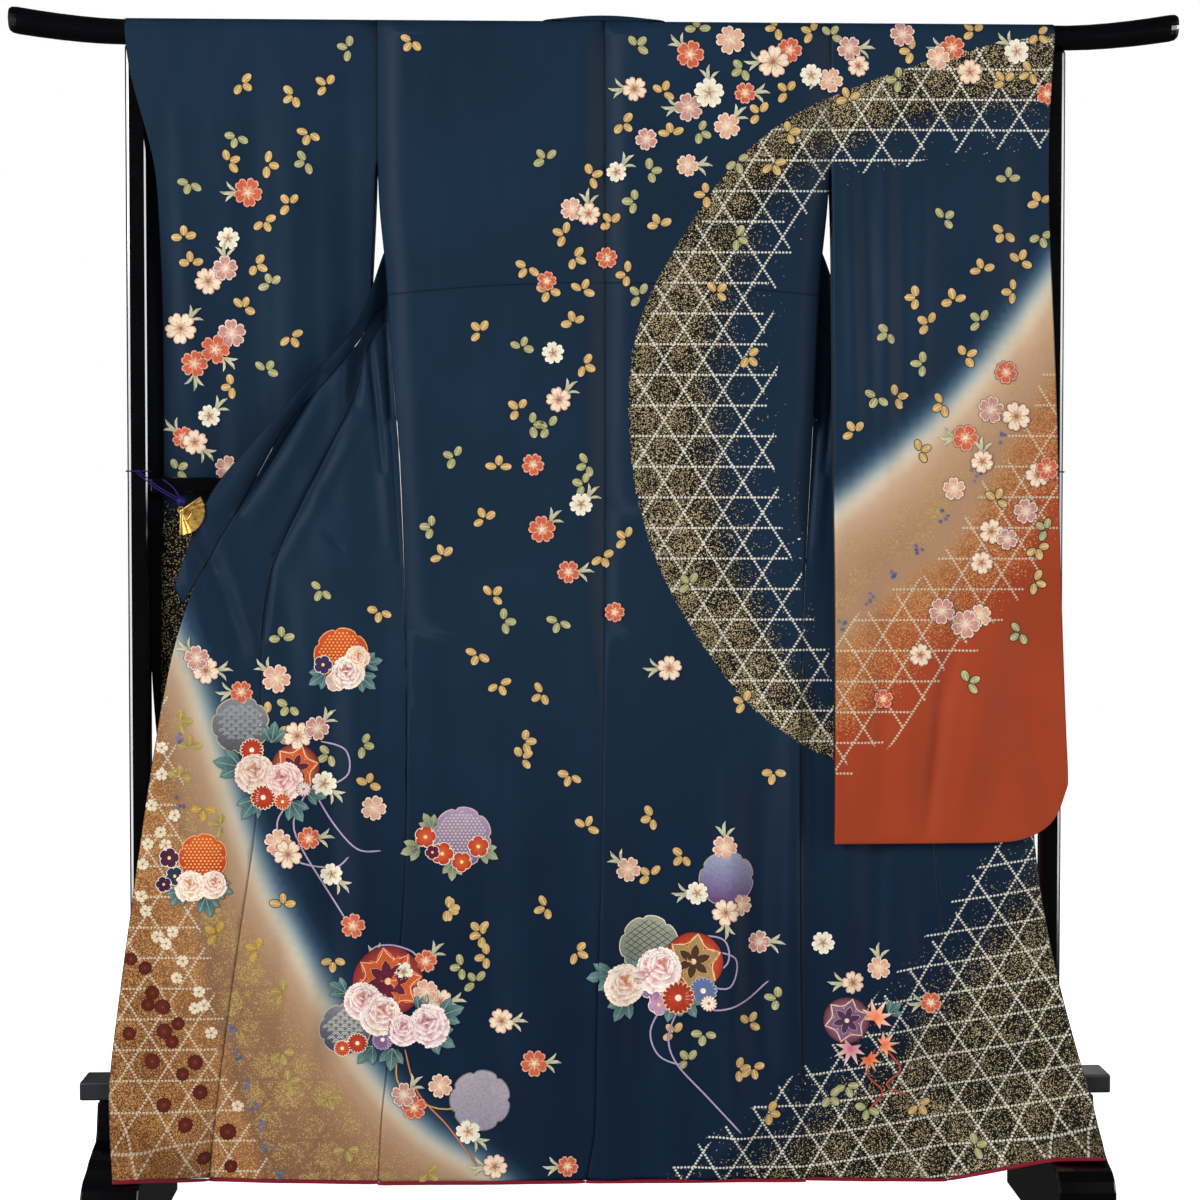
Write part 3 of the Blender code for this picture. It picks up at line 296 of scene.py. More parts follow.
def dyeAndShadeCloth(piece, design):
    # per point: the ground colour with its painted shade, where net and gold dust lie, and the cloth's own coordinates
    mesh = piece.data
    count = len(mesh.vertices)
    place = np.empty(count * 3)
    mesh.vertices.foreach_get("co", place)
    place = place.reshape(-1, 3)
    across, height = place[:, 0] - centreX, place[:, 2]
    laid = {"colour": np.tile(np.array(linear(dye["navy"])[:3]), (count, 1)), "net": np.full(count, -1.0),
            "dustEdge": np.full(count, -1.0), "dust": np.zeros(count), "cells": np.zeros(count),
            "warm": np.zeros(count), "navyHere": 1.0}
    if design == "leftSleeve":
        laid.update(nightAndShadeDye(height))
    elif design in ("left", "leftOkumi"):
        laid.update(duskDye(across, height))
    elif design == "rightSleeve":
        laid.update(sleeveDye(across, height))
    else:
        laid.update(archDye(across, height, rise(place[:, 1], 0.0, 0.004)))
    tuckOff = np.full(count, 1.0)
    if design in ("left", "right"):
        tuckOff = height - (tuck["middle"] - tuck["drop"] * across ** 2)
    if design in ("left", "leftOkumi", "right", "rightOkumi"):
        # painted shade: the navy is darkened towards the hem, where less light falls
        paintedHemShade = rise(0.90 - height, 0.0, 0.55) * laid["navyHere"]
        laid["colour"] = laid["colour"] * (1 - paintedHemShade[:, None] * np.array([0.40, 0.33, 0.21]))
    # beyond the side seams the opened fronts lie turned a little, and the net turns with them
    wing = np.maximum(np.abs(across) - 0.30, 0) * (height < 0.62) * (design in ("right", "rightOkumi"))
    lie = [across / dye["netStretch"], height - 0.150 * wing, seamDistance(mesh, place)]
    ground = np.concatenate([laid["colour"], laid["dustEdge"][:, None]], 1)
    write = {"ground": (ground, "FLOAT_COLOR", "color"),
             "dye": (np.stack([laid["net"], laid["dust"], laid["cells"]], 1), "FLOAT_VECTOR", "vector"),
             "lie": (np.stack(lie, 1), "FLOAT_VECTOR", "vector"),
             "warm": (laid["warm"], "FLOAT", "value"), "tuck": (tuckOff, "FLOAT", "value")}
    for name, (values, kind, field) in write.items():
        layer = mesh.attributes.new(name, kind, "POINT")
        layer.data.foreach_set(field, np.ascontiguousarray(values, dtype=np.float32).ravel())


def seamDistance(mesh, place):
    # how far each point is from its panel's nearest edge, up to 30 mm
    edges = {}
    for polygon in mesh.polygons:
        for key in polygon.edge_keys:
            edges[key] = edges.get(key, 0) + 1
    rim = sorted({v for key, uses in edges.items() if uses == 1 for v in key})
    tree = KDTree(len(rim))
    for v in rim:
        tree.insert(Vector(place[v]), v)
    tree.balance()
    return np.array([min(tree.find(Vector(p))[2], 0.03) for p in place])


# yuzen-dyed silk crepe: nearly matt, a fine crepe grain, gold dust that glints and a net of resist dots
net = {"dotPitch": 4.5 * mm, "dotRadius": 1.55 * mm, "dotSoft": 0.40 * mm, "ragged": 26 * mm, "cellEdge": 3.2 * mm}
dustGrain = 1.25 * mm


def dyedSilk():
    made, tree, shader = newMaterial("dyedCrepeSilk")
    ground = add(tree, "Attribute", attribute_name="ground")
    dustEdge = ground.node.outputs["Alpha"]
    dyes = add(tree, "Attribute", out="Vector", attribute_name="dye")
    netIn, dust, cells = add(tree, "SeparateXYZ", [dyes]).node.outputs
    lie = add(tree, "Attribute", out="Vector", attribute_name="lie")
    lieU, lieV, seamOff = add(tree, "SeparateXYZ", [lie]).node.outputs
    warm = add(tree, "Attribute", out="Fac", attribute_name="warm")
    tuckOff = add(tree, "Attribute", out="Fac", attribute_name="tuck")
    objectPlace = add(tree, "TexCoord", out="Object")

    # the net: beads along three sets of parallel lines, each set by its turn and its phase
    dots, offLine = 0.0, 1.0
    for turn, phase in ((90, 0.0), (30, 0.25), (150, 0.25)):
        cos, sin = math.cos(math.radians(turn)), math.sin(math.radians(turn))
        over = add(tree, "Math", [lieU, cos], operation="MULTIPLY")
        over = add(tree, "Math", [lieV, sin, over], operation="MULTIPLY_ADD")
        along = add(tree, "Math", [lieU, -sin], operation="MULTIPLY")
        along = add(tree, "Math", [lieV, cos, along], operation="MULTIPLY_ADD")
        number = add(tree, "Math", [over, 1 / dye["netSpacing"], phase], operation="MULTIPLY_ADD")
        nearest = add(tree, "Math", [number], operation="ROUND")
        off = add(tree, "Math", [number, nearest], operation="SUBTRACT")
        off = add(tree, "Math", [off, dye["netSpacing"]], operation="MULTIPLY")
        beadOff = add(tree, "Math", [along, net["dotPitch"] / 2], operation="PINGPONG")
        away = add(tree, "VectorMath", [add(tree, "CombineXYZ", [off, beadOff])], out="Value", operation="LENGTH")
        dot = add(tree, "MapRange", [away, net["dotRadius"] - net["dotSoft"], net["dotRadius"] + net["dotSoft"], 1, 0])
        # each line ends at its own place past the edge of the net
        seed = add(tree, "CombineXYZ", {0: nearest, 2: float(turn)})
        chance = add(tree, "Math", [add(tree, "TexWhiteNoise", [seed]), 0.45], operation="SUBTRACT")
        reach = add(tree, "Math", [chance, net["ragged"], netIn], operation="MULTIPLY_ADD")
        shown = add(tree, "Math", [reach, dustEdge], operation="MINIMUM")
        shown = add(tree, "Math", [shown, 0.0], operation="GREATER_THAN")
        dot = add(tree, "Math", [dot, shown], operation="MULTIPLY")
        dots = add(tree, "Math", [dots, dot], operation="MAXIMUM")
        off = add(tree, "Math", [off], operation="ABSOLUTE")
        offLine = add(tree, "Math", [offLine, off], operation="MINIMUM")

    # gold dust: so many of the grains, in patches; in the cells of the net few lie near its lines
    grains = add(tree, "TexVoronoi", {"Vector": objectPlace, "Scale": 1 / dustGrain}, out="Color")
    chance, tone, stray = add(tree, "SeparateColor", [grains]).node.outputs
    patch = add(tree, "TexNoise", {"Vector": objectPlace, "Scale": 1 / 0.055, "Detail": 2.0})
    enough = add(tree, "MapRange", [patch, 0.30, 0.66, 0.55, 1.18])
    enough = add(tree, "Math", [dust, enough], operation="MULTIPLY")
    inDust = add(tree, "Math", [chance, enough], operation="LESS_THAN")
    overEdge = add(tree, "Math", [stray, 0.003, dustEdge], operation="MULTIPLY_ADD")
    overEdge = add(tree, "Math", [overEdge, 0.001], operation="GREATER_THAN")
    inDust = add(tree, "Math", [inDust, overEdge], operation="MULTIPLY")
    enough = add(tree, "MapRange", [offLine, 0.4 * net["cellEdge"], 2.0 * net["cellEdge"], 0.22, 1.0])
    enough = add(tree, "Math", [cells, enough], operation="MULTIPLY")
    cellPatch = add(tree, "MapRange", [patch, 0.34, 0.60, 0.25, 1.20])
    enough = add(tree, "Math", [enough, cellPatch], operation="MULTIPLY")
    inCells = add(tree, "Math", [chance, enough], operation="LESS_THAN")
    under = add(tree, "MapRange", [dust, 0.0, 0.22, 0.0, 0.88])
    under = add(tree, "Math", [under, add(tree, "Math", [1.0, warm], operation="SUBTRACT")], operation="MULTIPLY")
    under = add(tree, "Math", [under, overEdge], operation="MULTIPLY")

    # dark size under the dust, gold cool or warm, cell gold and the resist dots, one over the other
    tones = [add(tree, "Mix", {0: share, 6: linear(dark), 7: linear(light)}, out=2, data_type="RGBA")
             for share, dark, light in ((tone, "#786846", "#cbbb92"), (tone, "#94623c", "#cd9c64"),
                                        (tone, "#94794a", "#c0a468"), (warm, "#cfccc0", "#c2b69e"))]
    gold = add(tree, "Mix", {0: warm, 6: tones[0], 7: tones[1]}, out=2, data_type="RGBA")
    colour = ground
    for share, coat in ((under, linear("#14110d")), (inDust, gold), (inCells, tones[2]), (dots, tones[3])):
        colour = add(tree, "Mix", {0: share, 6: colour, 7: coat}, out=2, data_type="RGBA")

    # slow unevenness of the dye, a thin shadow line where panels are sewn, and a painted shadow line along the tuck's
    # seam
    cloud = add(tree, "TexNoise", {"Vector": objectPlace, "Scale": 5.0, "Detail": 3.0})
    shade = add(tree, "MapRange", [cloud, 0.3, 0.7, 0.90, 1.08])
    seam = add(tree, "MapRange", [seamOff, 0.2 * mm, 2.0 * mm, 0.36, 1.0])
    shade = add(tree, "Math", [shade, seam], operation="MULTIPLY")
    tuckShadowLine = add(tree, "Math", [tuckOff], operation="ABSOLUTE")
    tuckShadowLine = add(tree, "MapRange", [tuckShadowLine, 0.3 * mm, 1.3 * mm, 0.45, 1.0])
    shade = add(tree, "Math", [shade, tuckShadowLine], operation="MULTIPLY")
    colour = add(tree, "VectorMath", {0: colour, "Scale": shade}, operation="SCALE")
    tree.links.new(colour, shader.inputs["Base Color"])

    # crepe grain, drawn at 2.6 mm because the real 0.6 mm is too fine to show, over slow soft waves
    crepe = add(tree, "TexNoise", {"Vector": objectPlace, "Scale": 1 / 0.0026, "Detail": 2.0})
    stretched = add(tree, "Mapping", {"Vector": objectPlace, "Scale": (1.0, 1.0, 0.30)})
    waves = add(tree, "TexNoise", {"Vector": stretched, "Scale": 14.0, "Detail": 2.0})
    normal = add(tree, "Bump", {"Height": waves, "Strength": 0.50, "Distance": 0.010})
    step = add(tree, "MapRange", [tuckOff, -2.5 * mm, 1.0 * mm])
    normal = add(tree, "Bump", {"Height": step, "Strength": 0.6, "Distance": 0.0012, "Normal": normal})
    normal = add(tree, "Bump", {"Height": crepe, "Strength": 0.22, "Distance": 0.0004, "Normal": normal})
    tree.links.new(normal, shader.inputs["Normal"])
    glint = add(tree, "Math", [inDust, inCells], operation="MAXIMUM")
    tree.links.new(add(tree, "MapRange", [glint, 0.0, 1.0, 0.48, 0.40]), shader.inputs["Roughness"])
    shader.inputs["Specular IOR Level"].default_value = 0.045
    return made


def liningSilk(name, upper, lower, meets, shadedBeyond=(0.0, 9.0)):
    # plain-weave lining silk: pale above, the deep red hem lining below its seam, and painted shade along the
    # openings, where the lining is coloured near-black navy
    made, tree, shader = newMaterial(name)
    objectPlace = add(tree, "TexCoord", out="Object")
    across, depth, height = add(tree, "SeparateXYZ", [objectPlace]).node.outputs
    across = add(tree, "Math", [across, centreX], operation="SUBTRACT")
    across = add(tree, "Math", [across], operation="ABSOLUTE")
    inner = add(tree, "Math", [across, shadedBeyond[0]], operation="LESS_THAN")
    outer = add(tree, "Math", [across, shadedBeyond[1]], operation="GREATER_THAN")
    turned = add(tree, "Math", [inner, outer], operation="ADD")
    cloud = add(tree, "TexNoise", {"Vector": objectPlace, "Scale": 9.0, "Detail": 3.0})
    shade = add(tree, "MapRange", [cloud, 0.3, 0.7, 0.90, 1.04])
    # a painted shadow line where the pale lining is sewn to the hem lining
    seam = add(tree, "Math", [height, meets], operation="SUBTRACT")
    seam = add(tree, "Math", [seam], operation="ABSOLUTE")
    seam = add(tree, "MapRange", [seam, 0.0, 1.5 * mm, 0.55, 1.0])
    shade = add(tree, "Math", [shade, seam], operation="MULTIPLY")
    above = add(tree, "MapRange", [height, meets - mm, meets + mm])
    colour = add(tree, "Mix", {0: above, 6: linear(lower), 7: linear(upper)}, out=2, data_type="RGBA")
    # painted shade: near-black navy where shade falls inside the openings
    colour = add(tree, "Mix", {0: turned, 6: colour, 7: linear("#0c121b")}, out=2, data_type="RGBA")
    colour = add(tree, "VectorMath", {0: colour, "Scale": shade}, operation="SCALE")
    tree.links.new(colour, shader.inputs["Base Color"])
    weave = add(tree, "TexNoise", {"Vector": objectPlace, "Scale": 1 / 0.0024, "Detail": 2.0})
    waves = add(tree, "TexNoise", {"Vector": objectPlace, "Scale": 12.0})
    normal = add(tree, "Bump", {"Height": waves, "Strength": 0.4, "Distance": 0.008})
    normal = add(tree, "Bump", {"Height": weave, "Strength": 0.15, "Distance": 0.0003, "Normal": normal})
    tree.links.new(normal, shader.inputs["Normal"])
    shader.inputs["Roughness"].default_value = 0.48
    shader.inputs["Specular IOR Level"].default_value = 0.10
    return made


silk = dyedSilk()
bodyLining = liningSilk("plainWeaveLiningSilk", "#e9ddcf", "#7d1228", 0.74)
sleeveLining = liningSilk("sleeveLiningSilk", "#e3c9be", "#e3c9be", 0.0, (0.385, 0.622))
hemLining = liningSilk("hemLiningSilk", "#7d1228", "#7d1228", 0.0)

# soft folds, m from the centre back (left is minus) and m above the floor
# fold: across 1, height 1, across 2, height 2, half width, forward (minus is a trough)
folds = {
    "back": [
        (-0.300, 1.30, -0.270, 0.80, 0.030, 0.0048), (-0.240, 1.10, -0.215, 0.60, 0.026, -0.0035),
        (-0.120, 0.70, -0.090, 0.12, 0.036, 0.0080), (-0.180, 0.50, -0.155, 0.20, 0.022, -0.0060),
        (0.060, 0.55, 0.050, 0.08, 0.030, -0.0060), (0.225, 0.64, 0.230, 0.24, 0.022, -0.0110),
        (0.178, 0.66, 0.186, 0.14, 0.020, 0.0110), (0.272, 0.80, 0.262, 0.22, 0.020, 0.0110),
        (0.120, 0.52, 0.128, 0.10, 0.018, -0.0050), (0.000, 0.60, 0.012, 0.08, 0.026, 0.0080),
        (0.302, 0.92, 0.300, 0.52, 0.014, -0.0035), (0.240, 0.185, 0.150, 0.075, 0.018, 0.0085),
        (-0.060, 1.66, -0.050, 1.30, 0.020, -0.0019), (0.070, 1.68, 0.060, 1.42, 0.018, 0.0022),
        (-0.250, 1.69, -0.235, 1.45, 0.020, 0.0026), (0.180, 1.70, 0.170, 1.50, 0.016, -0.0022),
        (0.250, 1.70, 0.240, 1.54, 0.014, 0.0029), (-0.020, 0.90, -0.010, 0.30, 0.030, 0.0026),
    ],
    "wing": [
        (0.367, 1.178, 0.474, 0.971, 0.0050, -0.0060), (0.474, 0.971, 0.491, 0.844, 0.0050, -0.0050),
        (0.352, 1.166, 0.460, 0.962, 0.010, 0.0034), (0.3090, 1.34, 0.2840, 0.963, 0.0050, 0.0030),
        (0.3175, 1.34, 0.2930, 0.963, 0.0045, -0.0040),
        (0.408, 1.232, 0.526, 1.036, 0.0065, -0.0120), (0.392, 1.216, 0.500, 1.030, 0.014, 0.0060),
        (0.430, 1.222, 0.545, 1.046, 0.012, 0.0040), (0.352, 1.300, 0.361, 1.190, 0.0085, -0.0120),
        (0.372, 1.290, 0.384, 1.150, 0.012, 0.0050), (0.339, 1.280, 0.318, 1.095, 0.0060, -0.0080),
        (0.331, 1.260, 0.308, 0.990, 0.009, 0.0040), (0.588, 1.010, 0.562, 0.955, 0.008, -0.0090),
        (0.562, 0.955, 0.520, 0.840, 0.010, -0.0070), (0.606, 0.985, 0.572, 0.860, 0.009, 0.0040),
        (0.545, 0.990, 0.495, 0.830, 0.012, 0.0050), (0.402, 1.004, 0.376, 0.982, 0.0045, -0.0045),
        (0.470, 1.000, 0.440, 0.740, 0.018, -0.0036), (0.440, 1.120, 0.400, 1.010, 0.018, 0.0034),
        (0.400, 0.760, 0.388, 0.240, 0.018, -0.0070), (0.356, 0.900, 0.346, 0.260, 0.018, 0.0056),
        (0.372, 0.880, 0.364, 0.560, 0.012, 0.0026), (0.455, 0.500, 0.475, 0.100, 0.016, -0.0046),
        (0.420, 0.400, 0.425, 0.100, 0.014, 0.0034), (0.560, 0.600, 0.585, 0.160, 0.016, 0.0030),
        (0.620, 0.620, 0.655, 0.240, 0.014, -0.0030), (0.530, 0.340, 0.545, 0.100, 0.011, 0.0024),
    ],
    "leftSleeve": [
        (-0.365, 1.66, -0.372, 1.20, 0.016, -0.0028), (-0.445, 1.64, -0.452, 1.18, 0.018, 0.0034),
        (-0.500, 1.66, -0.512, 1.28, 0.020, -0.0031), (-0.610, 1.60, -0.600, 1.20, 0.015, 0.0031),
        (-0.400, 1.50, -0.398, 1.12, 0.014, 0.0022), (-0.560, 1.45, -0.556, 0.80, 0.020, -0.0028),
        (-0.470, 1.05, -0.480, 0.62, 0.022, 0.0031),
    ],
    "rightSleeve": [
        (0.352, 1.55, 0.356, 1.16, 0.011, 0.0054), (0.376, 1.52, 0.380, 1.12, 0.010, -0.0042),
        (0.404, 1.56, 0.402, 1.08, 0.012, 0.0048), (0.430, 1.55, 0.428, 1.12, 0.010, -0.0035),
        (0.458, 1.52, 0.452, 1.16, 0.012, 0.0035), (0.530, 1.45, 0.540, 1.05, 0.020, 0.0032),
        (0.600, 1.55, 0.596, 1.18, 0.016, -0.0035), (0.520, 0.92, 0.486, 0.76, 0.014, -0.0066),
        (0.556, 0.86, 0.514, 0.60, 0.028, 0.0115), (0.486, 0.78, 0.464, 0.575, 0.0100, -0.0095),
        (0.440, 0.80, 0.428, 0.58, 0.018, 0.0040), (0.604, 0.74, 0.640, 0.61, 0.014, -0.0040),
        (0.370, 0.95, 0.362, 0.60, 0.018, 0.0029), (0.402, 0.90, 0.396, 0.62, 0.012, -0.0036),
    ],
    "hidden": [
        (-0.480, 1.60, -0.490, 0.90, 0.024, -0.0022), (-0.400, 1.50, -0.410, 0.80, 0.020, 0.0022),
        (-0.570, 1.40, -0.575, 0.70, 0.022, 0.0024), (0.420, 1.60, 0.430, 0.90, 0.022, 0.0020),
        (0.500, 1.50, 0.505, 0.80, 0.024, -0.0022), (0.590, 1.45, 0.585, 0.75, 0.020, 0.0022),
        (-0.260, 1.68, -0.250, 1.40, 0.018, 0.0020), (0.250, 1.68, 0.240, 1.42, 0.018, -0.0020),
    ],
}


def wingFolds(sign):
    # both opened fronts hang alike, one the mirror of the other
    return [(sign * a1, h1, sign * a2, h2, half, forward) for a1, h1, a2, h2, half, forward in folds["wing"]]


def refineFolds(piece, rows):
    # the cloth gets a finer mesh where a fold is too sharp for it
    bm = bmesh.new()
    bm.from_mesh(piece.data)
    near = set()
    for across1, height1, across2, height2, half, forward in rows:
        if half < cloth["sharp"]:
            dx, dz = across2 - across1, height2 - height1
            for v in bm.verts:
                if v.normal.y < -0.2:
                    x, z = v.co.x - centreX - across1, v.co.z - height1
                    t = min(max((x * dx + z * dz) / (dx * dx + dz * dz), 0), 1)
                    if math.hypot(x - t * dx, z - t * dz) < 2.4 * half:
                        near.add(v)
    edges = [e for e in bm.edges if e.verts[0] in near and e.verts[1] in near and not e.is_boundary]
    bmesh.ops.subdivide_edges(bm, edges=edges, cuts=1, use_grid_fill=True, smooth=0.0)
    bm.to_mesh(piece.data)
    bm.free()


def workFolds(piece, seen, hidden=()):
    refineFolds(piece, seen)
    mesh = piece.data
    count = len(mesh.vertices)
    place, normals = np.empty(count * 3), np.empty(count * 3)
    mesh.vertices.foreach_get("co", place)
    mesh.vertex_normals.foreach_get("vector", normals)
    place, normals = place.reshape(-1, 3), normals.reshape(-1, 3)
    across, height = place[:, 0] - centreX, place[:, 2]
    faces = {"seen": rise(-normals[:, 1], 0.25, 0.7), "hidden": rise(normals[:, 1], 0.25, 0.7)}
    for rows, way, sign in ((seen, "seen", -1), (hidden, "hidden", 1)):
        push = np.zeros(count)
        for across1, height1, across2, height2, half, forward in rows:
            dx, dz = across2 - across1, height2 - height1
            t = np.clip(((across - across1) * dx + (height - height1) * dz) / (dx * dx + dz * dz), 0, 1)
            off = np.hypot(across - across1 - t * dx, height - height1 - t * dz) / half
            push += forward * np.exp(-off * off) * (0.25 + 0.75 * np.sin(np.pi * (0.08 + 0.84 * t)))
        calm = rise(1.70 - height, 0.0, 0.05)
        place[:, 1] += sign * push * faces[way] * calm
    mesh.vertices.foreach_set("co", place.ravel())
    mesh.update()


def rimOf(piece):
    # the open edges of a panel, as pairs of points, each with the way that leads out of the cloth there
    centres = {}
    for polygon in piece.data.polygons:
        for key in polygon.edge_keys:
            centres.setdefault(key, []).append(polygon.center.copy())
    vertices = piece.data.vertices
    return {key: ((vertices[key[0]].co + vertices[key[1]].co) / 2 - found[0]).normalized()
            for key, found in centres.items() if len(found) == 1}


def sewSeams(pieces):
    # neighbouring rims are drawn together on one line, as when sewn. A panel's own rims that face each other
    # meet too, at the side seams
    rims = {name: rimOf(piece) for name, piece in pieces.items()}
    trees, ways, outward = {}, {}, {}
    for name, piece in pieces.items():
        points, ways[name], outward[name] = [], [], {}
        for (i, j), way in rims[name].items():
            p, q = piece.data.vertices[i].co, piece.data.vertices[j].co
            steps = max(1, math.ceil((q - p).length / cloth["seamStep"]))
            points += [p.lerp(q, k / steps) for k in range(steps)]
            ways[name] += [way] * steps
            for v in (i, j):
                outward[name][v] = outward[name].get(v, Vector()) + way
        trees[name] = KDTree(len(points))
        for k, p in enumerate(points):
            trees[name].insert(p, k)
        trees[name].balance()
    moves = []
    reach = cloth["seamReach"], cloth["sideReach"]
    for name, piece in pieces.items():
        for i, way in outward[name].items():
            p = piece.data.vertices[i].co
            near = [(distance, nearest) for other in trees
                    for nearest, index, distance in trees[other].find_range(p, reach[other == name])
                    if other != name or ways[other][index].dot(way) < -0.3]
            distance, nearest = min(near, key=lambda found: found[0], default=(0.0, p))
            if distance > 1e-6:
                moves.append((piece, i, p.lerp(nearest, 0.5) + (nearest - p).normalized() * cloth["seamLap"]))
    for piece, i, place in moves:
        piece.data.vertices[i].co = place
    print("seam points drawn together:", len(moves))


def finishCloth(piece, nodeName, lining, thickness, design):
    piece.data.materials.append(silk)
    piece.data.materials.append(lining)
    dyeAndShadeCloth(piece, design)
    wall = piece.modifiers.new("wall", "SOLIDIFY")
    wall.thickness = thickness
    wall.offset = -1.0
    wall.use_even_offset = False
    wall.material_offset = wall.material_offset_rim = 1
    applyAll(piece)
    dress(piece, nodeName)


panels = {}
for side, sign in (("left", -1), ("right", 1)):
    wing = wingFolds(sign)
    piece = panels["body_" + side] = clothShell("body_" + side, "bodyPanel_" + side)
    workFolds(piece, folds["back"] + wing, folds["hidden"])
    piece = panels["okumi_" + side] = clothShell("okumi_" + side, "overlapPanel_" + side, overRail=False)
    workFolds(piece, wing)
    piece = panels["sleeve_" + side] = clothShell("sleeve_" + side, "sleeve_" + side + "_bag")
    workFolds(piece, folds[side + "Sleeve"], folds["hidden"])
piece = panels["collar"] = clothShell("collar", "collar_band", cloth["collarWall"], overRail=False)
for sign in (-1, 1):
    workFolds(piece, wingFolds(sign))
sewSeams(panels)
for name, piece in panels.items():
    form, dot, side = name.partition("_")
    if form == "collar":
        finishCloth(piece, name, silk, cloth["collarWall"], "collar")
    else:
        finishCloth(piece, name, sleeveLining if form == "sleeve" else bodyLining, cloth["wall"],
                    side + {"body": "", "okumi": "Okumi", "sleeve": "Sleeve"}[form])
print("cloth:", {name: len(p.data.polygons) for name, p in panels.items()})

# the burgundy hem lining rolls out a few mm under each hem. Smoothing pulls each roll in by what "fuller" gives
# back, "upTo" closes it to the hem it comes out of, and "past" draws its ends on to its neighbours'
roll = {"fuller": 0.25 * mm, "upTo": 1.2 * mm, "past": 4.2 * mm, "end": 3 * mm, "levels": 2}
hemRolls = {}
for nodeName in [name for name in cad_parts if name.startswith("hem_roll")]:
    bm = bmesh.new()
    bm.from_mesh(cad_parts[nodeName].data)
    bmesh.ops.remove_doubles(bm, verts=bm.verts, dist=0.02 * mm)
    bm.normal_update()
    ends = [pick(v.co.x for v in bm.verts) for pick in (min, max)]
    for v in bm.verts:
        v.co += v.normal * roll["fuller"]
        v.co.z += roll["upTo"] * max(0.0, v.normal.z)
        v.co.x += sum(way * roll["past"] for end, way in zip(ends, (-1, 1)) if abs(v.co.x - end) < roll["end"])
    piece = hemRolls[nodeName] = smoothed(newPiece("fuki_" + nodeName[9:], bm), roll["levels"])
    dress(piece, nodeName, [hemLining])
print("hem rolls:", len(hemRolls))

# the drawn figures of the design: ordinary blossoms, leaf sprigs, peonies, snow rings, thread balls and
# ribbons, each shape laid flat on the cloth a hair above the dye, as embroidery and gilt outlines stand
# halves of shapes one unit long on their own axis
halves = {
    "petal": [(0.05, 0), (0.28, 0.17), (0.55, 0.38), (0.80, 0.43), (0.97, 0.30), (1.0, 0.14), (0.90, 0)],
    "round": [(0.0, 0), (0.22, 0.20), (0.50, 0.42), (0.80, 0.42), (0.97, 0.22), (1.0, 0)],
    "frill": [(0.10, 0), (0.40, 0.24), (0.70, 0.44), (0.84, 0.46), (0.92, 0.33), (0.90, 0.26), (0.99, 0.17),
              (0.96, 0.09), (1.0, 0)],
    "lens": [(0.0, 0), (0.22, 0.15), (0.50, 0.21), (0.78, 0.15), (1.0, 0)],
    "needle": [(0.0, 0), (0.35, 0.09), (0.75, 0.13), (0.93, 0.09), (1.0, 0)],
    "thread": [(0.0, 0), (0.06, 0.5), (0.94, 0.5), (1.0, 0)],
}
outlines = {name: half + [(x, -y) for x, y in reversed(half[1:-1])] for name, half in halves.items()}
outlines["oval"] = [(0.5 + 0.5 * math.cos(k * math.pi / 6), 0.5 * math.sin(k * math.pi / 6)) for k in range(12)]
outlines["blade"] = [(0, 0), (0.20, 0.09), (0.45, 0.19), (0.72, 0.19), (1, 0.04), (0.78, 0.04), (0.50, 0.02),
                     (0.22, -0.03)]
# a figure lies "rise" above the cloth and each layer of it one "layer" higher; "span" is its longest edge in mm,
# and a point more than "depth" behind its middle is on other cloth
figures = {"depth": 24 * mm, "rise": 0.38 * mm, "layer": 0.10 * mm, "span": 5.5}
drawn = []


def plain(colour):
    value = linear(colour)[:3]
    return lambda u, v: value


def polar(reach, angle, x=0.0, y=0.0):
    return (x + reach * math.cos(angle), y + reach * math.sin(angle))


def between(a, b, share):
    return tuple(p + (q - p) * share for p, q in zip(a, b))


def along(foot, tip):
    foot, tip = linear(foot)[:3], linear(tip)[:3]
    return lambda u, v: between(foot, tip, min(max(u, 0.0), 1.0))


def upwards(low, high):
    low, high = linear(low)[:3], linear(high)[:3]
    return lambda u, v: between(low, high, min(max(0.5 + 0.5 * v, 0.0), 1.0))


def outwards(middle, rim, power=1.0):
    middle, rim = linear(middle)[:3], linear(rim)[:3]
    return lambda u, v: between(middle, rim, min(math.hypot(u, v), 1.0) ** power)


def stamp(shape, at, turn, long, wide, paint, layer, grow=0.0, middle=(0.5, 0.0)):
    # one flat shape, turned and sized in mm round its foot; grow makes it larger round its own middle, for a rim
    points = outlines[shape] if isinstance(shape, str) else shape
    cos, sin = math.cos(math.radians(turn)), math.sin(math.radians(turn))
    mu, mv = middle
    ring = []
    for u, v in points:
        x = (u - mu) * (long + grow) + mu * long
        y = (v - mv) * (wide + grow) + mv * wide
        ring.append(((at[0] + cos * x - sin * y, at[1] + sin * x + cos * y), paint(u, v)))
    x, y = mu * long, mv * wide
    centre = ((at[0] + cos * x - sin * y, at[1] + sin * x + cos * y), paint(mu, mv))
    drawn.append((ring, centre, layer, hiddenSide))


def disc(at, radius, paint, layer, scallops=0, wedges=12):
    # a round shape in wedges, with a small sharp notch a tenth of the radius deep between its scallops
    wedges = 2 * scallops or wedges
    steps = max(1, round(radius / figures["span"]))
    for k in range(wedges):
        rim = []
        for j in range(5):
            a = 2 * math.pi * (k + j / 4) / wedges
            reach = 0.90 + 0.10 * abs(math.sin(scallops * a / 2)) ** 0.30 if scallops else 1.0
            rim.append(polar(reach, a))
        # short steps along both sides, so that the wedge bends over a fold with the cloth
        points = [(j / steps * rim[0][0], j / steps * rim[0][1]) for j in range(steps)] + rim
        points += [(j / steps * rim[-1][0], j / steps * rim[-1][1]) for j in range(steps - 1, 0, -1)]
        middle = polar(0.62, 2 * math.pi * (k + 0.5) / wedges)
        stamp(points, at, 0, radius, radius, paint, layer, middle=middle)


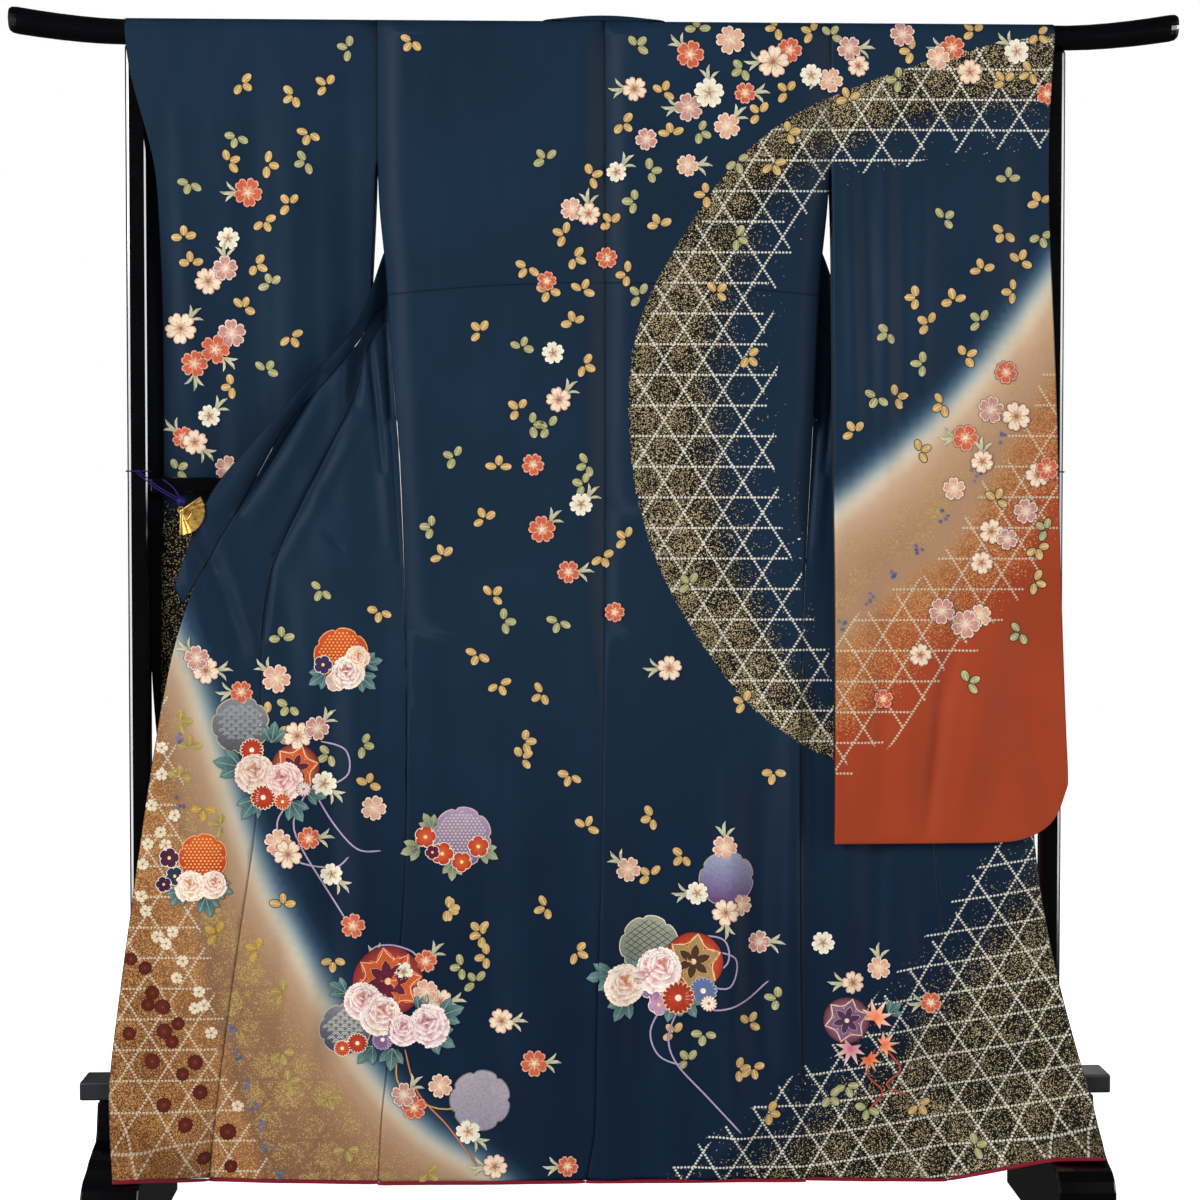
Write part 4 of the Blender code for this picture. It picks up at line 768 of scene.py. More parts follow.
def strip(points, width, paint, layer, steps=6):
    # a ribbon or thread along a smooth line, its ends drawn in
    line = smoothLine(points, steps)
    sides = []
    for i, p in enumerate(line):
        way = line[min(i + 1, len(line) - 1)] - line[max(i - 1, 0)]
        way = way / max(math.hypot(*way), 1e-6)
        half = width / 2 * min(1.0, 0.35 + 0.5 * min(i, len(line) - 1 - i))
        sides.append(((p[0] - way[1] * half, p[1] + way[0] * half), (p[0] + way[1] * half, p[1] - way[0] * half)))
    for i in range(len(line) - 1):
        t = i / len(line)
        (a, b), (c, d) = sides[i], sides[i + 1]
        colour = paint(t, 0.0)
        centre = ((a[0] + d[0]) / 2, (a[1] + d[1]) / 2)
        drawn.append(([(a, colour), (b, colour), (d, colour), (c, colour)], (centre, colour), layer, hiddenSide))


# blossom: outline, petal tip, petal foot, stamens
blossomColours = {
    "white": ("#e6e0cf", "#e6dfcb", "#dccdae", "#a8754c"), "cream": ("#d8ab96", "#e6d6be", "#e4c8a6", "#a96848"),
    "shell": ("#e6d0bc", "#cf9c84", "#dbb094", "#e9d0b4"), "rose": ("#e2c8ba", "#b78276", "#c6958a", "#e6d2b8"),
    "coral": ("#dc9c84", "#be5a40", "#c96848", "#ecd4b0"),
}
leafPaint = along("#a5a284", "#cfccb0")
goldPaints = [(along("#a88650", "#cfae74"), "#e0c48c"), (along("#b08d58", "#c9a76c"), "#dcbf88"),
              (along("#a08450", "#d2b27a"), "#dabd84"), (along("#86845a", "#b3ae80"), "#c6c294"),
              (along("#8f8a60", "#aaa678"), "#bfbb90")]
draw = random.Random(31)


def leafSpray(at, turn, long, layer):
    for k, spray in enumerate((-48, -4, 42)):
        size = long * (0.84, 1.0, 0.88)[k]
        wide = size * (1.05, 1.05, -1.05)[k]
        stamp("blade", at, turn + spray, size, wide, plain("#1a2833"), layer, grow=1.2 if wide > 0 else 0.0)
        stamp("blade", at, turn + spray, size, wide, leafPaint, layer + 1)


def blossom(kind, x, y, size, leaves=None, level=0):
    rim, tip, foot, thread = blossomColours[kind]
    turn = draw.uniform(0, 72)
    half = size / 2
    if leaves is not None:
        leafSpray(polar(0.80 * half, math.radians(leaves), x, y), leaves, 25, level)
    tilt = draw.uniform(0.92, 1.0)
    for k in range(5):
        stamp("petal", (x, y), turn + 72 * k, half, half * tilt, plain("#1a2430"), level, grow=3.4)
        stamp("petal", (x, y), turn + 72 * k, half, half * tilt, plain(rim), level + 1, grow=1.9)
        stamp("petal", (x, y), turn + 72 * k, half - 0.9, (half - 0.9) * tilt * 0.94, along(foot, tip), level + 2,
              middle=(0.66, 0))
    for k in range(5):
        stamp("thread", (x, y), turn + 72 * k, 0.54 * half, 0.9, plain(thread), level + 3)
        stamp("thread", (x, y), turn + 72 * k + 17, 0.42 * half, 0.7, plain(thread), level + 3)
        stamp("thread", (x, y), turn + 72 * k - 17, 0.42 * half, 0.7, plain(thread), level + 3)
    disc((x, y), 0.10 * half, plain(thread), level + 4, wedges=4)


def sprig(x, y, faded=False, level=0):
    # three oval leaves round one foot
    turn = draw.uniform(0, 360)
    paint, vein = goldPaints[draw.choice((0, 0, 1, 1, 2, 3, 4))]
    if faded:
        paint, vein = draw.choice(((along("#a8843c", "#c09a4c"), "#c8a65c"), (along("#94803e", "#a8945a"), "#b8a46a")))
    for spray in (-82, 0, 80):
        way = turn + spray + draw.uniform(-9, 9)
        long, wide = draw.uniform(14.5, 16.5), draw.uniform(10.0, 11.5)
        foot = polar(draw.uniform(2.0, 3.4), math.radians(way), x, y)
        if not faded:
            stamp("oval", foot, way, long, wide, plain("#141c26"), level, grow=2.2)
        stamp("oval", foot, way, long, wide, paint, level + 1)
        stamp("thread", foot, way, long, 1.2, plain(vein), level + 2)


def peony(x, y, size, level, foot="#a8445a", tip="#efe5d5", shade="#6a3a44"):
    # tiers of frilled petals, pale at the lip and deep where the next tier covers them, the heart off the middle
    lean = math.radians(draw.uniform(40, 140))
    foot, tip = linear(foot)[:3], linear(tip)[:3]

    def deepening(u, v):
        return between(foot, tip, min(max((u - 0.62) / 0.22, 0.0), 1.0) ** 0.8)

    for tier, (count, reach) in enumerate(((7, 1.0), (6, 0.80), (6, 0.60), (4, 0.42), (3, 0.26))):
        heart = polar(size * 0.045 * tier, lean, x, y)
        first = draw.uniform(0, 360)
        for k in range(count):
            way = first + 360 / count * k + draw.uniform(-9, 9)
            long = size / 2 * reach * draw.uniform(0.90, 1.08)
            wide = long * (1.12, 1.25, 1.15, 1.45, 1.6)[tier] * draw.uniform(0.92, 1.08)
            stamp("frill", heart, way, long, wide, plain(shade), level + tier, grow=1.1)
            stamp("frill", heart, way, long, wide, deepening, level + tier + 1, middle=(0.80, 0))
    for k in range(5):
        stamp("oval", heart, 72 * k + 20, 0.05 * size, 0.03 * size, plain("#c39040"), level + 7)


def chrysanthemum(x, y, size, level, colour, edge="#f0dcc4", heart="#f3e2c8", count=18):
    disc((x, y), size * 0.46, plain(edge), level, wedges=8)
    for k in range(count):
        stamp("needle", (x, y), 360 / count * k, size / 2, size * 0.62, plain(edge), level, grow=1.0)
        stamp("needle", (x, y), 360 / count * k, size / 2 - 0.6, size * 0.50, colour, level + 1)
    disc((x, y), size * 0.10, plain(heart), level + 2, wedges=6)


def violet(x, y, size, level, colour):
    turn = draw.uniform(0, 72)
    for k in range(5):
        stamp("round", (x, y), turn + 72 * k, size / 2, size * 0.56, plain("#f0e0cc"), level, grow=1.6)
        stamp("round", (x, y), turn + 72 * k, size / 2, size * 0.52, colour, level + 1)
    disc((x, y), size * 0.09, plain("#e8c878"), level + 2, wedges=5)


def mapleLeaf(x, y, size, turn, level, heart, tip):
    points = []
    for k, reach in enumerate((0.55, 0.80, 0.94, 1.0, 0.94, 0.80, 0.55)):
        points.append(polar(reach, math.radians((k - 3) * 42)))
        if k < 6:
            points.append(polar(0.36, math.radians((k - 2.5) * 42)))
    points.append((-0.12, 0.0))
    stamp(points, (x, y), turn, size / 2, size / 2, plain("#2a2a30"), level, grow=2.2, middle=(0.1, 0))
    stamp(points, (x, y), turn, size / 2, size / 2, outwards(heart, tip, 1.3), level + 1, middle=(0.1, 0))


def greenery(x, y, turn, size, level, colours=("#1b3a41", "#668986")):
    # a peony's lobed leaf
    for k, spray in enumerate((-38, 0, 38)):
        long = size * (0.82, 1.0, 0.82)[k]
        stamp("lens", (x, y), turn + spray, long, long * 1.15, plain("#16222b"), level, grow=1.6)
        stamp("lens", (x, y), turn + spray, long, long * 1.15, along(*colours), level + 1)
        stamp("thread", (x, y), turn + spray, long * 0.9, 0.9, plain("#8fa39a"), level + 2)


def snowRing(x, y, radius, level, low, high, rim, pattern=None, patternColour="#efe6d0"):
    disc((x, y), radius + 1.6, plain(rim), level, scallops=7)
    disc((x, y), radius, upwards(low, high), level + 1, scallops=7)
    if pattern == "dots":
        # tie-dye squares in rows, as kanoko is
        pitch = 5.6
        for i in range(-9, 10):
            for j in range(-9, 10):
                px, py = (i + 0.5 * (j % 2)) * pitch, j * pitch * 0.8
                if math.hypot(px, py) < radius * 0.86:
                    stamp("thread", (x + px - 1.5, y + py), 0, 3.0, 2.4, plain(patternColour), level + 2)
    if pattern == "waves":
        # seigaiha waves
        pitch = 13.0
        for j in range(-4, 5):
            for i in range(-3, 4):
                px, py = (i + 0.5 * (j % 2)) * pitch, j * pitch * 0.42
                if math.hypot(px, py + 3) < radius * 0.74:
                    for r in (6.2, 3.9):
                        arc = [polar(r, a, x + px, y + py) for a in (2.8, 2.1, 1.57, 1.0, 0.34)]
                        strip(arc, 1.2, plain(patternColour), level + 2, steps=2)
    if pattern == "lattice":
        for turn in (35, -35):
            for j in range(-5, 6):
                off = j * radius / 5.6
                reach = math.sqrt(max(radius ** 2 * 0.76 - off ** 2, 0))
                if reach > 4:
                    a = math.radians(turn)
                    ends = [(x + s * reach * math.cos(a) - off * math.sin(a), y + s * reach * math.sin(a)
                             + off * math.cos(a)) for s in (-1, 0, 1)]
                    strip(ends, 1.1, plain(patternColour), level + 2, steps=4)


def threadBall(x, y, radius, level, ground, panel, small, thread="#f0cfae", count=6, turn=0.0):
    disc((x, y), radius + 1.2, plain("#3a2028"), level)
    disc((x, y), radius, outwards(*ground, 2.0), level + 1)
    for k in range(count):
        way = turn + 360 / count * k
        stamp("lens", (x, y), way, radius * 0.97, radius * 1.25, plain(thread), level + 2, grow=1.8)
        stamp("lens", (x, y), way, radius * 0.97, radius * 1.25, panel, level + 3)
        stamp("lens", (x, y), way, radius * 0.62, radius * 0.70, plain(thread), level + 4, grow=1.4)
        stamp("lens", (x, y), way, radius * 0.62, radius * 0.70, small, level + 5)
        a, b = math.radians(way), math.radians(way + 360 / count)
        arc = [polar(reach * radius, t, x, y) for reach, t in ((0.95, a), (0.66, (a + b) / 2), (0.95, b))]
        strip(arc, 1.4, plain(thread), level + 4, steps=4)
    disc((x, y), radius * 0.10, plain(thread), level + 6, wedges=6)


def ribbon(points, level, colour="#a596b0", shade="#2c2a44", width=2.3):
    strip(points, width + 0.9, plain(shade), level)
    strip(points, width, plain(colour), level + 1)


# where they lie, mm across from the centre back and above the floor: colour, place, size, way the leaves point
scattered = {
    "blossoms": [
        ("coral", 123, 1691, 38, 135), ("shell", 181, 1712, 40), ("coral", 266, 1698, 34),
        ("cream", 242, 1681, 44, 180), ("cream", 43, 1641, 33, 180), ("white", 150, 1636, 41, 90),
        ("rose", 121, 1615, 39, 180), ("coral", 202, 1636, 29, 0), ("shell", 176, 1589, 36, 45),
        ("rose", 60, 1569, 30), ("shell", 119, 1532, 30, 0), ("white", 17, 1522, 27, 45),
        ("shell", -47, 1469, 31), ("cream", -23, 1462, 31, 90), ("coral", 3, 1399, 29),
        ("white", 297, 1662, 30), ("shell", 325, 1655, 34, 180), ("rose", 352, 1701, 33, 0),
        ("cream", 365, 1676, 29), ("rose", 429, 1722, 34), ("coral", 501, 1703, 34, 180),
        ("shell", 480, 1688, 33), ("cream", 526, 1668, 34), ("white", 594, 1698, 34, 135),
        ("coral", 638, 1637, 29), ("coral", 575, 1235, 31), ("rose", 553, 1181, 37),
        ("cream", 590, 1172, 40), ("coral", 516, 1141, 36, 180), ("cream", 540, 1107, 31, 90),
        ("shell", 500, 1068, 31), ("coral", 635, 1097, 31), ("cream", 621, 1088, 34),
        ("rose", 604, 1036, 34), ("cream", 554, 1007, 34), ("rose", 577, 996, 29), ("cream", 540, 962, 31),
        ("rose", 483, 893, 36), ("shell", 538, 886, 31), ("rose", 517, 874, 39), ("cream", 452, 830, 31),
        ("coral", 399, 767, 26), ("white", -74, 1263, 30), ("cream", -66, 1196, 34, 45),
        ("coral", -103, 1103, 30), ("white", -34, 1046, 31, 45), ("coral", -90, 1010, 37, 45),
        ("coral", -52, 949, 31, 0), ("coral", 14, 891, 27), ("cream", 93, 810, 34, 180),
        ("coral", -83, 1366, 26), ("coral", -511, 1493, 39, 180), ("white", -541, 1428, 30),
        ("rose", -546, 1386, 34, 90), ("cream", -571, 1368, 36), ("cream", -611, 1300, 43, 45),
        ("rose", -538, 1293, 39), ("coral", -562, 1270, 40, 315), ("coral", -592, 1249, 37, 270),
        ("white", -571, 1174, 30, 45), ("coral", -609, 1143, 30, 135), ("cream", -592, 1136, 34, 315),
        ("rose", -546, 1099, 34), ("rose", -584, 826, 34, 135), ("cream", -571, 808, 36, 0),
        ("shell", -471, 796, 39, 135), ("coral", -521, 777, 31, 180), ("rose", -413, 725, 33, 45),
        ("cream", -441, 714, 39), ("white", -403, 645, 34, 315), ("shell", -332, 610, 34),
        ("coral", -425, 567, 31, 0), ("shell", -469, 561, 37), ("cream", -455, 544, 39),
        ("white", -393, 514, 30, 315), ("coral", -362, 441, 34), ("white", -315, 387, 30, 135),
        ("white", -290, 374, 26), ("coral", -258, 389, 31, 45), ("shell", -258, 345, 34),
        ("cream", -237, 331, 34, 0), ("rose", -290, 196, 34, 45), ("coral", -275, 178, 34),
        ("shell", -237, 209, 33), ("white", -197, 143, 34, 315), ("cream", -159, 92, 34, 180),
        ("shell", 173, 552, 34, 90), ("white", 133, 485, 31, 180), ("shell", 197, 468, 30),
        ("cream", 174, 458, 37, 270), ("rose", 224, 412, 31, 0), ("white", 316, 412, 31),
        ("cream", 359, 355, 31, 180), ("shell", 397, 375, 31, 90), ("coral", 473, 324, 29, 180),
        ("shell", 34, 520, 34, 135), ("cream", -149, 302, 34, 0), ("coral", -102, 242, 37, 0),
        ("coral", -54, 91, 29, 180),
    ],
    "sprigs": [
        (-365, 1696), (-275, 1708), (-518, 1646), (-443, 1629), (-396, 1643), (-526, 1571), (-538, 1535),
        (-594, 1506), (-483, 1532), (-422, 1575), (-426, 1535), (-451, 1475), (-489, 1453), (-604, 1429),
        (-595, 1392), (-503, 1392), (-481, 1363), (-521, 1329), (-453, 1289), (-489, 1239), (-538, 1217),
        (-618, 1096), (-84, 1539), (-20, 1516), (-57, 1432), (-44, 1400), (-110, 1386), (-80, 1353),
        (-32, 1352), (-44, 1306), (-177, 1293), (-119, 1270), (-30, 1246), (-123, 1182), (-105, 1160),
        (-80, 1156), (-153, 1099), (-215, 1113), (-24, 1103), (-30, 1074), (-172, 1024), (-248, 1013),
        (-232, 971), (31, 996), (-3, 971), (-162, 914), (-146, 878), (-66, 878), (-182, 831), (-152, 788),
        (-90, 774), (-116, 705), (-120, 681), (-50, 657), (-323, 893), (-406, 924), (-463, 853),
        (-27, 581), (69, 595), (66, 510), (202, 760), (244, 660), (-180, 431), (-227, 464), (-170, 395),
        (-84, 467), (-42, 402), (46, 1702), (134, 1728), (249, 1731), (299, 1724), (325, 1719), (84, 1636),
        (199, 1671), (263, 1638), (223, 1606), (26, 1592), (96, 1576), (136, 1581), (263, 1579),
        (242, 1535), (190, 1539), (64, 1523), (44, 1480), (147, 1490), (10, 1449), (79, 1446), (33, 1376),
        (190, 1429), (51, 1345), (161, 1350), (206, 1259), (123, 931), (443, 1698), (533, 1726),
        (625, 1723), (423, 1657), (351, 1628), (577, 1654), (615, 1668), (580, 1513), (627, 1480),
        (487, 1455), (574, 1436), (627, 1432), (541, 1381), (597, 1394), (446, 1341), (500, 1337),
        (587, 1351), (538, 1307), (463, 1303), (405, 1291), (516, 1257), (455, 1246), (389, 1199),
        (415, 1199), (484, 1189), (357, 1148), (450, 1121), (561, 1051), (621, 984), (634, 1009),
        (617, 935), (597, 862), (520, 790), (-453, 757), (-483, 745), (-469, 713), (-395, 687),
        (-348, 701), (-340, 644), (-462, 471), (-391, 391), (-226, 464), (-176, 425), (-206, 381),
        (-186, 358), (113, 540), (250, 331), (209, 295), (143, 282), (100, 282), (121, 242), (192, 231),
        (214, 232), (237, 168), (326, 189), (350, 205), (380, 172), (455, 176), (535, 119),
    ],
    "fadedSprigs": [
        (-608, 735), (-594, 698), (-609, 655), (-575, 611), (-551, 587), (-556, 431), (-498, 407),
        (-463, 345), (-465, 259), (-456, 216), (-398, 193), (-372, 118), (-256, 83),
    ],
    "blueChains": [
        (-534, 292), (-528, 255), (-515, 211), (-502, 182), (-495, 153), (-488, 121), (-469, 83),
        (-608, 710), (-609, 617), (570, 1144), (530, 1088), (486, 1027), (447, 983), (413, 946),
        (379, 911), (339, 874),
    ],
    "smallWhite": [
        (-634, 698), (-634, 660), (-649, 615), (-616, 601), (-636, 577), (-629, 558), (-654, 560),
        (-662, 531), (-664, 485), (-658, 464), (-619, 434), (-642, 427), (-629, 417), (-605, 392),
        (-614, 368), (-582, 348), (-575, 328), (-588, 324), (-565, 288), (-528, 182),
    ],
    "maroonBlooms": [
        (-679, 395), (-659, 382), (-649, 346), (-634, 326), (-655, 329), (-612, 302), (-682, 288),
        (-632, 291), (-621, 276), (-649, 248), (-588, 246), (-606, 229), (-581, 203), (-632, 186),
        (-601, 158), (-542, 145), (-538, 95), (-575, 109),
    ],
}

hiddenSide = False
for x, y in scattered["maroonBlooms"]:
    chrysanthemum(x, y, draw.uniform(19, 25), 0, plain("#5e241b"), "#43180f", "#7c3422", 12)
for x, y in scattered["smallWhite"]:
    turn = draw.uniform(0, 72)
    for k in range(5):
        stamp("petal", (x, y), turn + 72 * k, draw.uniform(8, 9.4), 8.6, plain("#dccfb4"), 3)
    disc((x, y), 1.6, plain("#b06a3c"), 4, wedges=5)
for x, y in scattered["blueChains"]:
    for k in range(4):
        way = draw.uniform(0, 360)
        reach = 5.5 * (k > 0)
        px, py = x + reach * math.cos(k * 2.1), y + reach * 1.4 * math.sin(k * 2.1)
        stamp("oval", (px, py), way, draw.uniform(5, 7), draw.uniform(4, 6),
              plain(draw.choice(("#5f6788", "#74698c", "#4f5a80"))), 3)
for x, y in scattered["sprigs"]:
    sprig(x, y)
for x, y in scattered["fadedSprigs"]:
    sprig(x, y, faded=True, level=1)
level = 4
for row in scattered["blossoms"]:
    blossom(*row[:4], leaves=row[4] if len(row) > 4 else None, level=level)
    level = 4 if level == 8 else 8          # neighbours in the list may overlap


# the bouquets: the maker's own are not redrawn, these are ordinary flowers in another layout
def bouquet(x, y, items):
    # items: what, place from the bouquet's middle, size and the rest
    for what, dx, dy, *rest in items:
        what(x + dx, y + dy, *rest)


orange = outwards("#d4623a", "#a83420", 1.0)
redOrange = outwards("#c2442a", "#962e1c", 1.0)
bouquet(-378, 822, [
    (snowRing, 0, 8, 38, 4, "#a8301e", "#c4512c", "#d9a060", "dots", "#e9a24c"),
    (greenery, -22, -18, 215, 30, 8), (greenery, 26, -22, 320, 30, 8), (greenery, 34, -4, 10, 26, 8),
    (violet, -26, -6, 26, 9, plain("#3b2b54")), (violet, -8, -30, 28, 10, plain("#caa9a0")),
    (peony, 10, -18, 48, 10), (peony, 24, 4, 34, 11, "#d2764c", "#f3e2c8", "#9a5038"),
])
bouquet(-520, 716, [
    (snowRing, -2, 14, 40, 4, "#4c4c4e", "#7f8088", "#b7a98a", "waves", "#9aa0a0"),
])
bouquet(-470, 664, [
    (threadBall, 26, 4, 34, 4, ("#d2703c", "#6e2a2a"), plain("#c4562c"), plain("#5c2430"), "#eebb92", 6, 12),
    (greenery, -52, 6, 168, 40, 8), (greenery, -30, -40, 235, 36, 8), (greenery, 20, -44, 300, 34, 8),
    (greenery, -8, 40, 80, 32, 8), (greenery, 44, -30, 340, 28, 8),
    (chrysanthemum, -36, 30, 34, 9, redOrange), (peony, -32, -4, 56, 10, "#b0645c", "#e9d6c4"),
    (peony, 10, -14, 58, 11, "#b85a66", "#ecd2c6"), (chrysanthemum, -20, -38, 36, 12, redOrange),
    (chrysanthemum, 38, -26, 22, 13, plain("#d9c7c4"), "#8c6a70", "#c8643c", 14),
    (chrysanthemum, 8, -44, 24, 13, orange, "#e8c8a0", "#f0d8a8", 14),
])
bouquet(-588, 528, [
    (snowRing, 12, 12, 34, 4, "#a8301e", "#c9562c", "#dda468", "dots", "#ecab58"),
    (greenery, -18, -34, 235, 28, 8), (greenery, 16, -44, 285, 30, 8), (greenery, 30, -30, 340, 26, 8),
    (violet, -36, 12, 28, 9, plain("#4a1f3e")), (violet, -28, -14, 26, 10, plain("#26304c")),
    (violet, -44, -26, 22, 11, plain("#3c1e3a")), (peony, -4, -30, 46, 12, "#cf7a5c", "#f4e8d6", "#a05a48"),
    (peony, 26, -26, 40, 12, "#c65a44", "#f4e6d4", "#9a4c40"),
])
bouquet(-222, 566, [
    (snowRing, 16, 2, 42, 4, "#6c5a82", "#a08caa", "#c7b19c", "dots", "#c9b7a2"),
    (greenery, -44, -12, 200, 30, 8, ("#4c5a44", "#a9a882")), (greenery, -26, 14, 120, 26, 8, ("#4c5a44", "#a9a882")),
    (greenery, 4, -34, 265, 28, 8, ("#4c5a44", "#a9a882")), (greenery, 44, -16, 330, 28, 8, ("#4c5a44", "#a9a882")),
    (violet, -36, 2, 30, 9, orange), (violet, -12, -22, 32, 10, orange), (violet, 16, -34, 28, 11, orange),
    (violet, 40, -12, 30, 12, orange), (violet, -26, -20, 20, 12, plain("#5c1e34")),
])
bouquet(-312, 330, [
    (snowRing, -62, -38, 36, 4, "#2f3c58", "#7c7c80", "#b8ab94", "waves", "#c3c0b2"),
    (threadBall, 0, 30, 50, 5, ("#c8502c", "#7a2630"), plain("#c4582e"), plain("#5e2036"), "#efb98c", 8, 8),
    (greenery, -60, 14, 150, 30, 9), (greenery, 60, -44, 330, 42, 9), (greenery, 74, -20, 20, 38, 9),
    (greenery, 6, -66, 265, 34, 9), (greenery, -22, -62, 230, 34, 9), (greenery, 44, -12, 60, 28, 9),
    (chrysanthemum, -44, -58, 30, 10, redOrange), (chrysanthemum, -66, -66, 24, 10, orange),
    (chrysanthemum, -8, -54, 30, 10, plain("#7c5f8a"), "#c0a8b8"),
    (peony, -36, 2, 54, 11, "#b85a70", "#f1e0d6"), (peony, -10, -18, 60, 12, "#c06a72", "#f4e8dc"),
    (peony, 22, -40, 48, 13, "#b8587a", "#f2e2da"), (peony, 58, -34, 62, 12, "#a8507a", "#f3e4dc"),
])
snowRing(-180, 188, 43, 4, "#8d8794", "#a79da6", "#6f6a70")
snowRing(176, 506, 39, 4, "#552c66", "#9499b2", "#a8958c")
bouquet(88, 388, [
    (snowRing, -24, 22, 42, 4, "#6c7468", "#9a9c88", "#d6cfb8", "lattice", "#3c4440"),
    (threadBall, 40, -2, 42, 6, ("#d2602c", "#9a3020"), plain("#a88452"), plain("#4a3424"), "#f2c9a0", 6, 20),
    (greenery, -76, -18, 190, 40, 10), (greenery, -56, -54, 240, 38, 10), (greenery, -24, -30, 130, 40, 10),
    (greenery, 26, -52, 300, 36, 10), (greenery, 8, -58, 260, 32, 10),
    (chrysanthemum, 54, -44, 40, 11, plain("#5c6c94"), "#aab0c4"), (violet, -10, -64, 30, 11, plain("#b78aa8")),
    (violet, -20, -40, 34, 11, plain("#8f6f96")), (peony, -60, -36, 62, 12, "#d07a58", "#f4e9d8", "#a4604c"),
    (peony, -10, -14, 70, 13, "#c4687c", "#f5ebdf"), (chrysanthemum, 18, -54, 48, 14, redOrange, "#efc7a2"),
    (chrysanthemum, 62, -62, 24, 14, plain("#eedfcf"), "#9a6a5c", "#d0683c", 14),
])
bouquet(366, 286, [
    (threadBall, -16, 14, 33, 6, ("#a07088", "#5c3440"), plain("#7d5a78"), plain("#4c3050"), "#ecc8ae", 6, 15),
    (mapleLeaf, 26, 16, 62, 60, 10, "#e8703c", "#f3e6d2"), (mapleLeaf, 38, -22, 48, 10, 11, "#e0602c", "#f2d8ba"),
    (mapleLeaf, -10, -26, 58, 250, 12, "#c4607c", "#f3e4d4"), (mapleLeaf, 16, -42, 44, 300, 13, "#d8542c", "#f0b88c"),
    (greenery, 44, 24, 40, 24, 9),
])
for points in ([(-440, 632), (-470, 590), (-452, 540), (-392, 524), (-368, 540)],
               [(-430, 630), (-446, 580), (-404, 500), (-366, 440)],
               [(-420, 640), (-392, 590), (-356, 552), (-322, 548)],
               [(-408, 706), (-372, 694), (-368, 660), (-398, 640)],
               [(-360, 366), (-330, 410), (-276, 402), (-262, 362)],
               [(112, 330), (92, 280), (104, 238), (150, 188), (196, 140)],
               [(88, 330), (66, 286), (78, 250), (112, 236)],
               [(128, 330), (160, 316), (206, 330), (238, 356)],
               [(134, 424), (172, 418), (176, 384), (140, 362)],
               [(140, 404), (188, 392), (180, 350), (138, 352)]):
    ribbon(points, 3)
for points, colour in (([(-298, 262), (-296, 210), (-240, 176), (-172, 186)], "#c29a58"),
                       ([(-288, 262), (-270, 200), (-226, 150), (-184, 92)], "#c07850"),
                       ([(402, 262), (428, 230), (408, 206), (440, 190)], "#b8463c"),
                       ([(392, 258), (380, 222), (402, 196), (384, 172)], "#b8463c")):
    ribbon(points, 3, colour, "#5c4632", 1.9)
print("figures drawn:", len(drawn))

# the sides that the photograph doesn't show carry the same scatter
hiddenSide = True
for low, high, count in (((-610, 640), (-330, 1660), 34), ((345, 640), (655, 1660), 34),
                         ((-300, 1480), (300, 1690), 20)):
    placed = []
    for attempt in range(count * 12):
        x, y = draw.uniform(low[0], high[0]), draw.uniform(low[1], high[1])
        if len(placed) < count and all(math.hypot(x - a, y - b) > 52 for a, b in placed):
            placed.append((x, y))
            if len(placed) % 4:
                sprig(x, y)
            else:
                blossom(draw.choice(list(blossomColours)), x, y, draw.uniform(28, 38),
                        draw.choice((None, 45, 180, 270)), 4)


def cast(tree, point, way):
    # where a level ray meets the panel: the place, its normal and the distance. way is 1 from the hidden side
    hit, normal, index, distance = tree.ray_cast(Vector((centreX + point[0] * mm, way * 0.5, point[1] * mm)),
                                                 Vector((0, -way, 0)))
    return (hit, normal, distance) if hit is not None and normal.y * way > 0.3 else None


def nearestPanel(trees, point, way):
    # the panel that shows at this point
    found = [(name, cast(tree, point, way)) for name, tree in trees.items()]
    return min((row for row in found if row[1]), key=lambda row: row[1][2], default=None)


def layShape(tree, made, ring, middle, middleColour, start, way, lift, turnOver):
    # one shape in rings round its middle; a point past the panel's edge is drawn back to that edge
    places, faces, colours = made

    def onShape(point, share):
        # the cloth's place under a point that lies between the middle, 0, and the shape's edge, 1
        found = cast(tree, between(middle, point, share), way)
        return found[0] if found and abs(found[0].y - start.y) < figures["depth"] else None

    size = max(math.hypot(p[0] - middle[0], p[1] - middle[1]) for p, c in ring)
    rings = max(1, math.ceil(size / figures["span"]))
    base = len(places)
    places.append(start + Vector((0, way * lift, 0)))
    colours.append(middleColour)
    rim = []
    for point, colour in ring:
        known, share, step, spot = 0.0, 1.0, 0.5, start
        for attempt in range(7):
            found = onShape(point, share)
            if found:
                known, spot = share, found
                if share == 1.0:
                    break
                share += step
            else:
                share -= step
            step /= 2
        rim.append((point, colour, known, spot))
    for k in range(1, rings + 1):
        for point, colour, known, spot in rim:
            share = known * k / rings
            if k < rings:
                spot = onShape(point, share) or start
            places.append(spot + Vector((0, way * lift, 0)))
            colours.append(between(middleColour, colour, share))
    count = len(ring)
    for i in range(count):
        j = (i + 1) % count
        loops = [(base, base + 1 + i, base + 1 + j)]
        for k in range(rings - 1):
            a = base + 1 + k * count
            loops.append((a + i, a + count + i, a + count + j, a + j))
        faces.extend(tuple(reversed(loop)) if turnOver else loop for loop in loops)


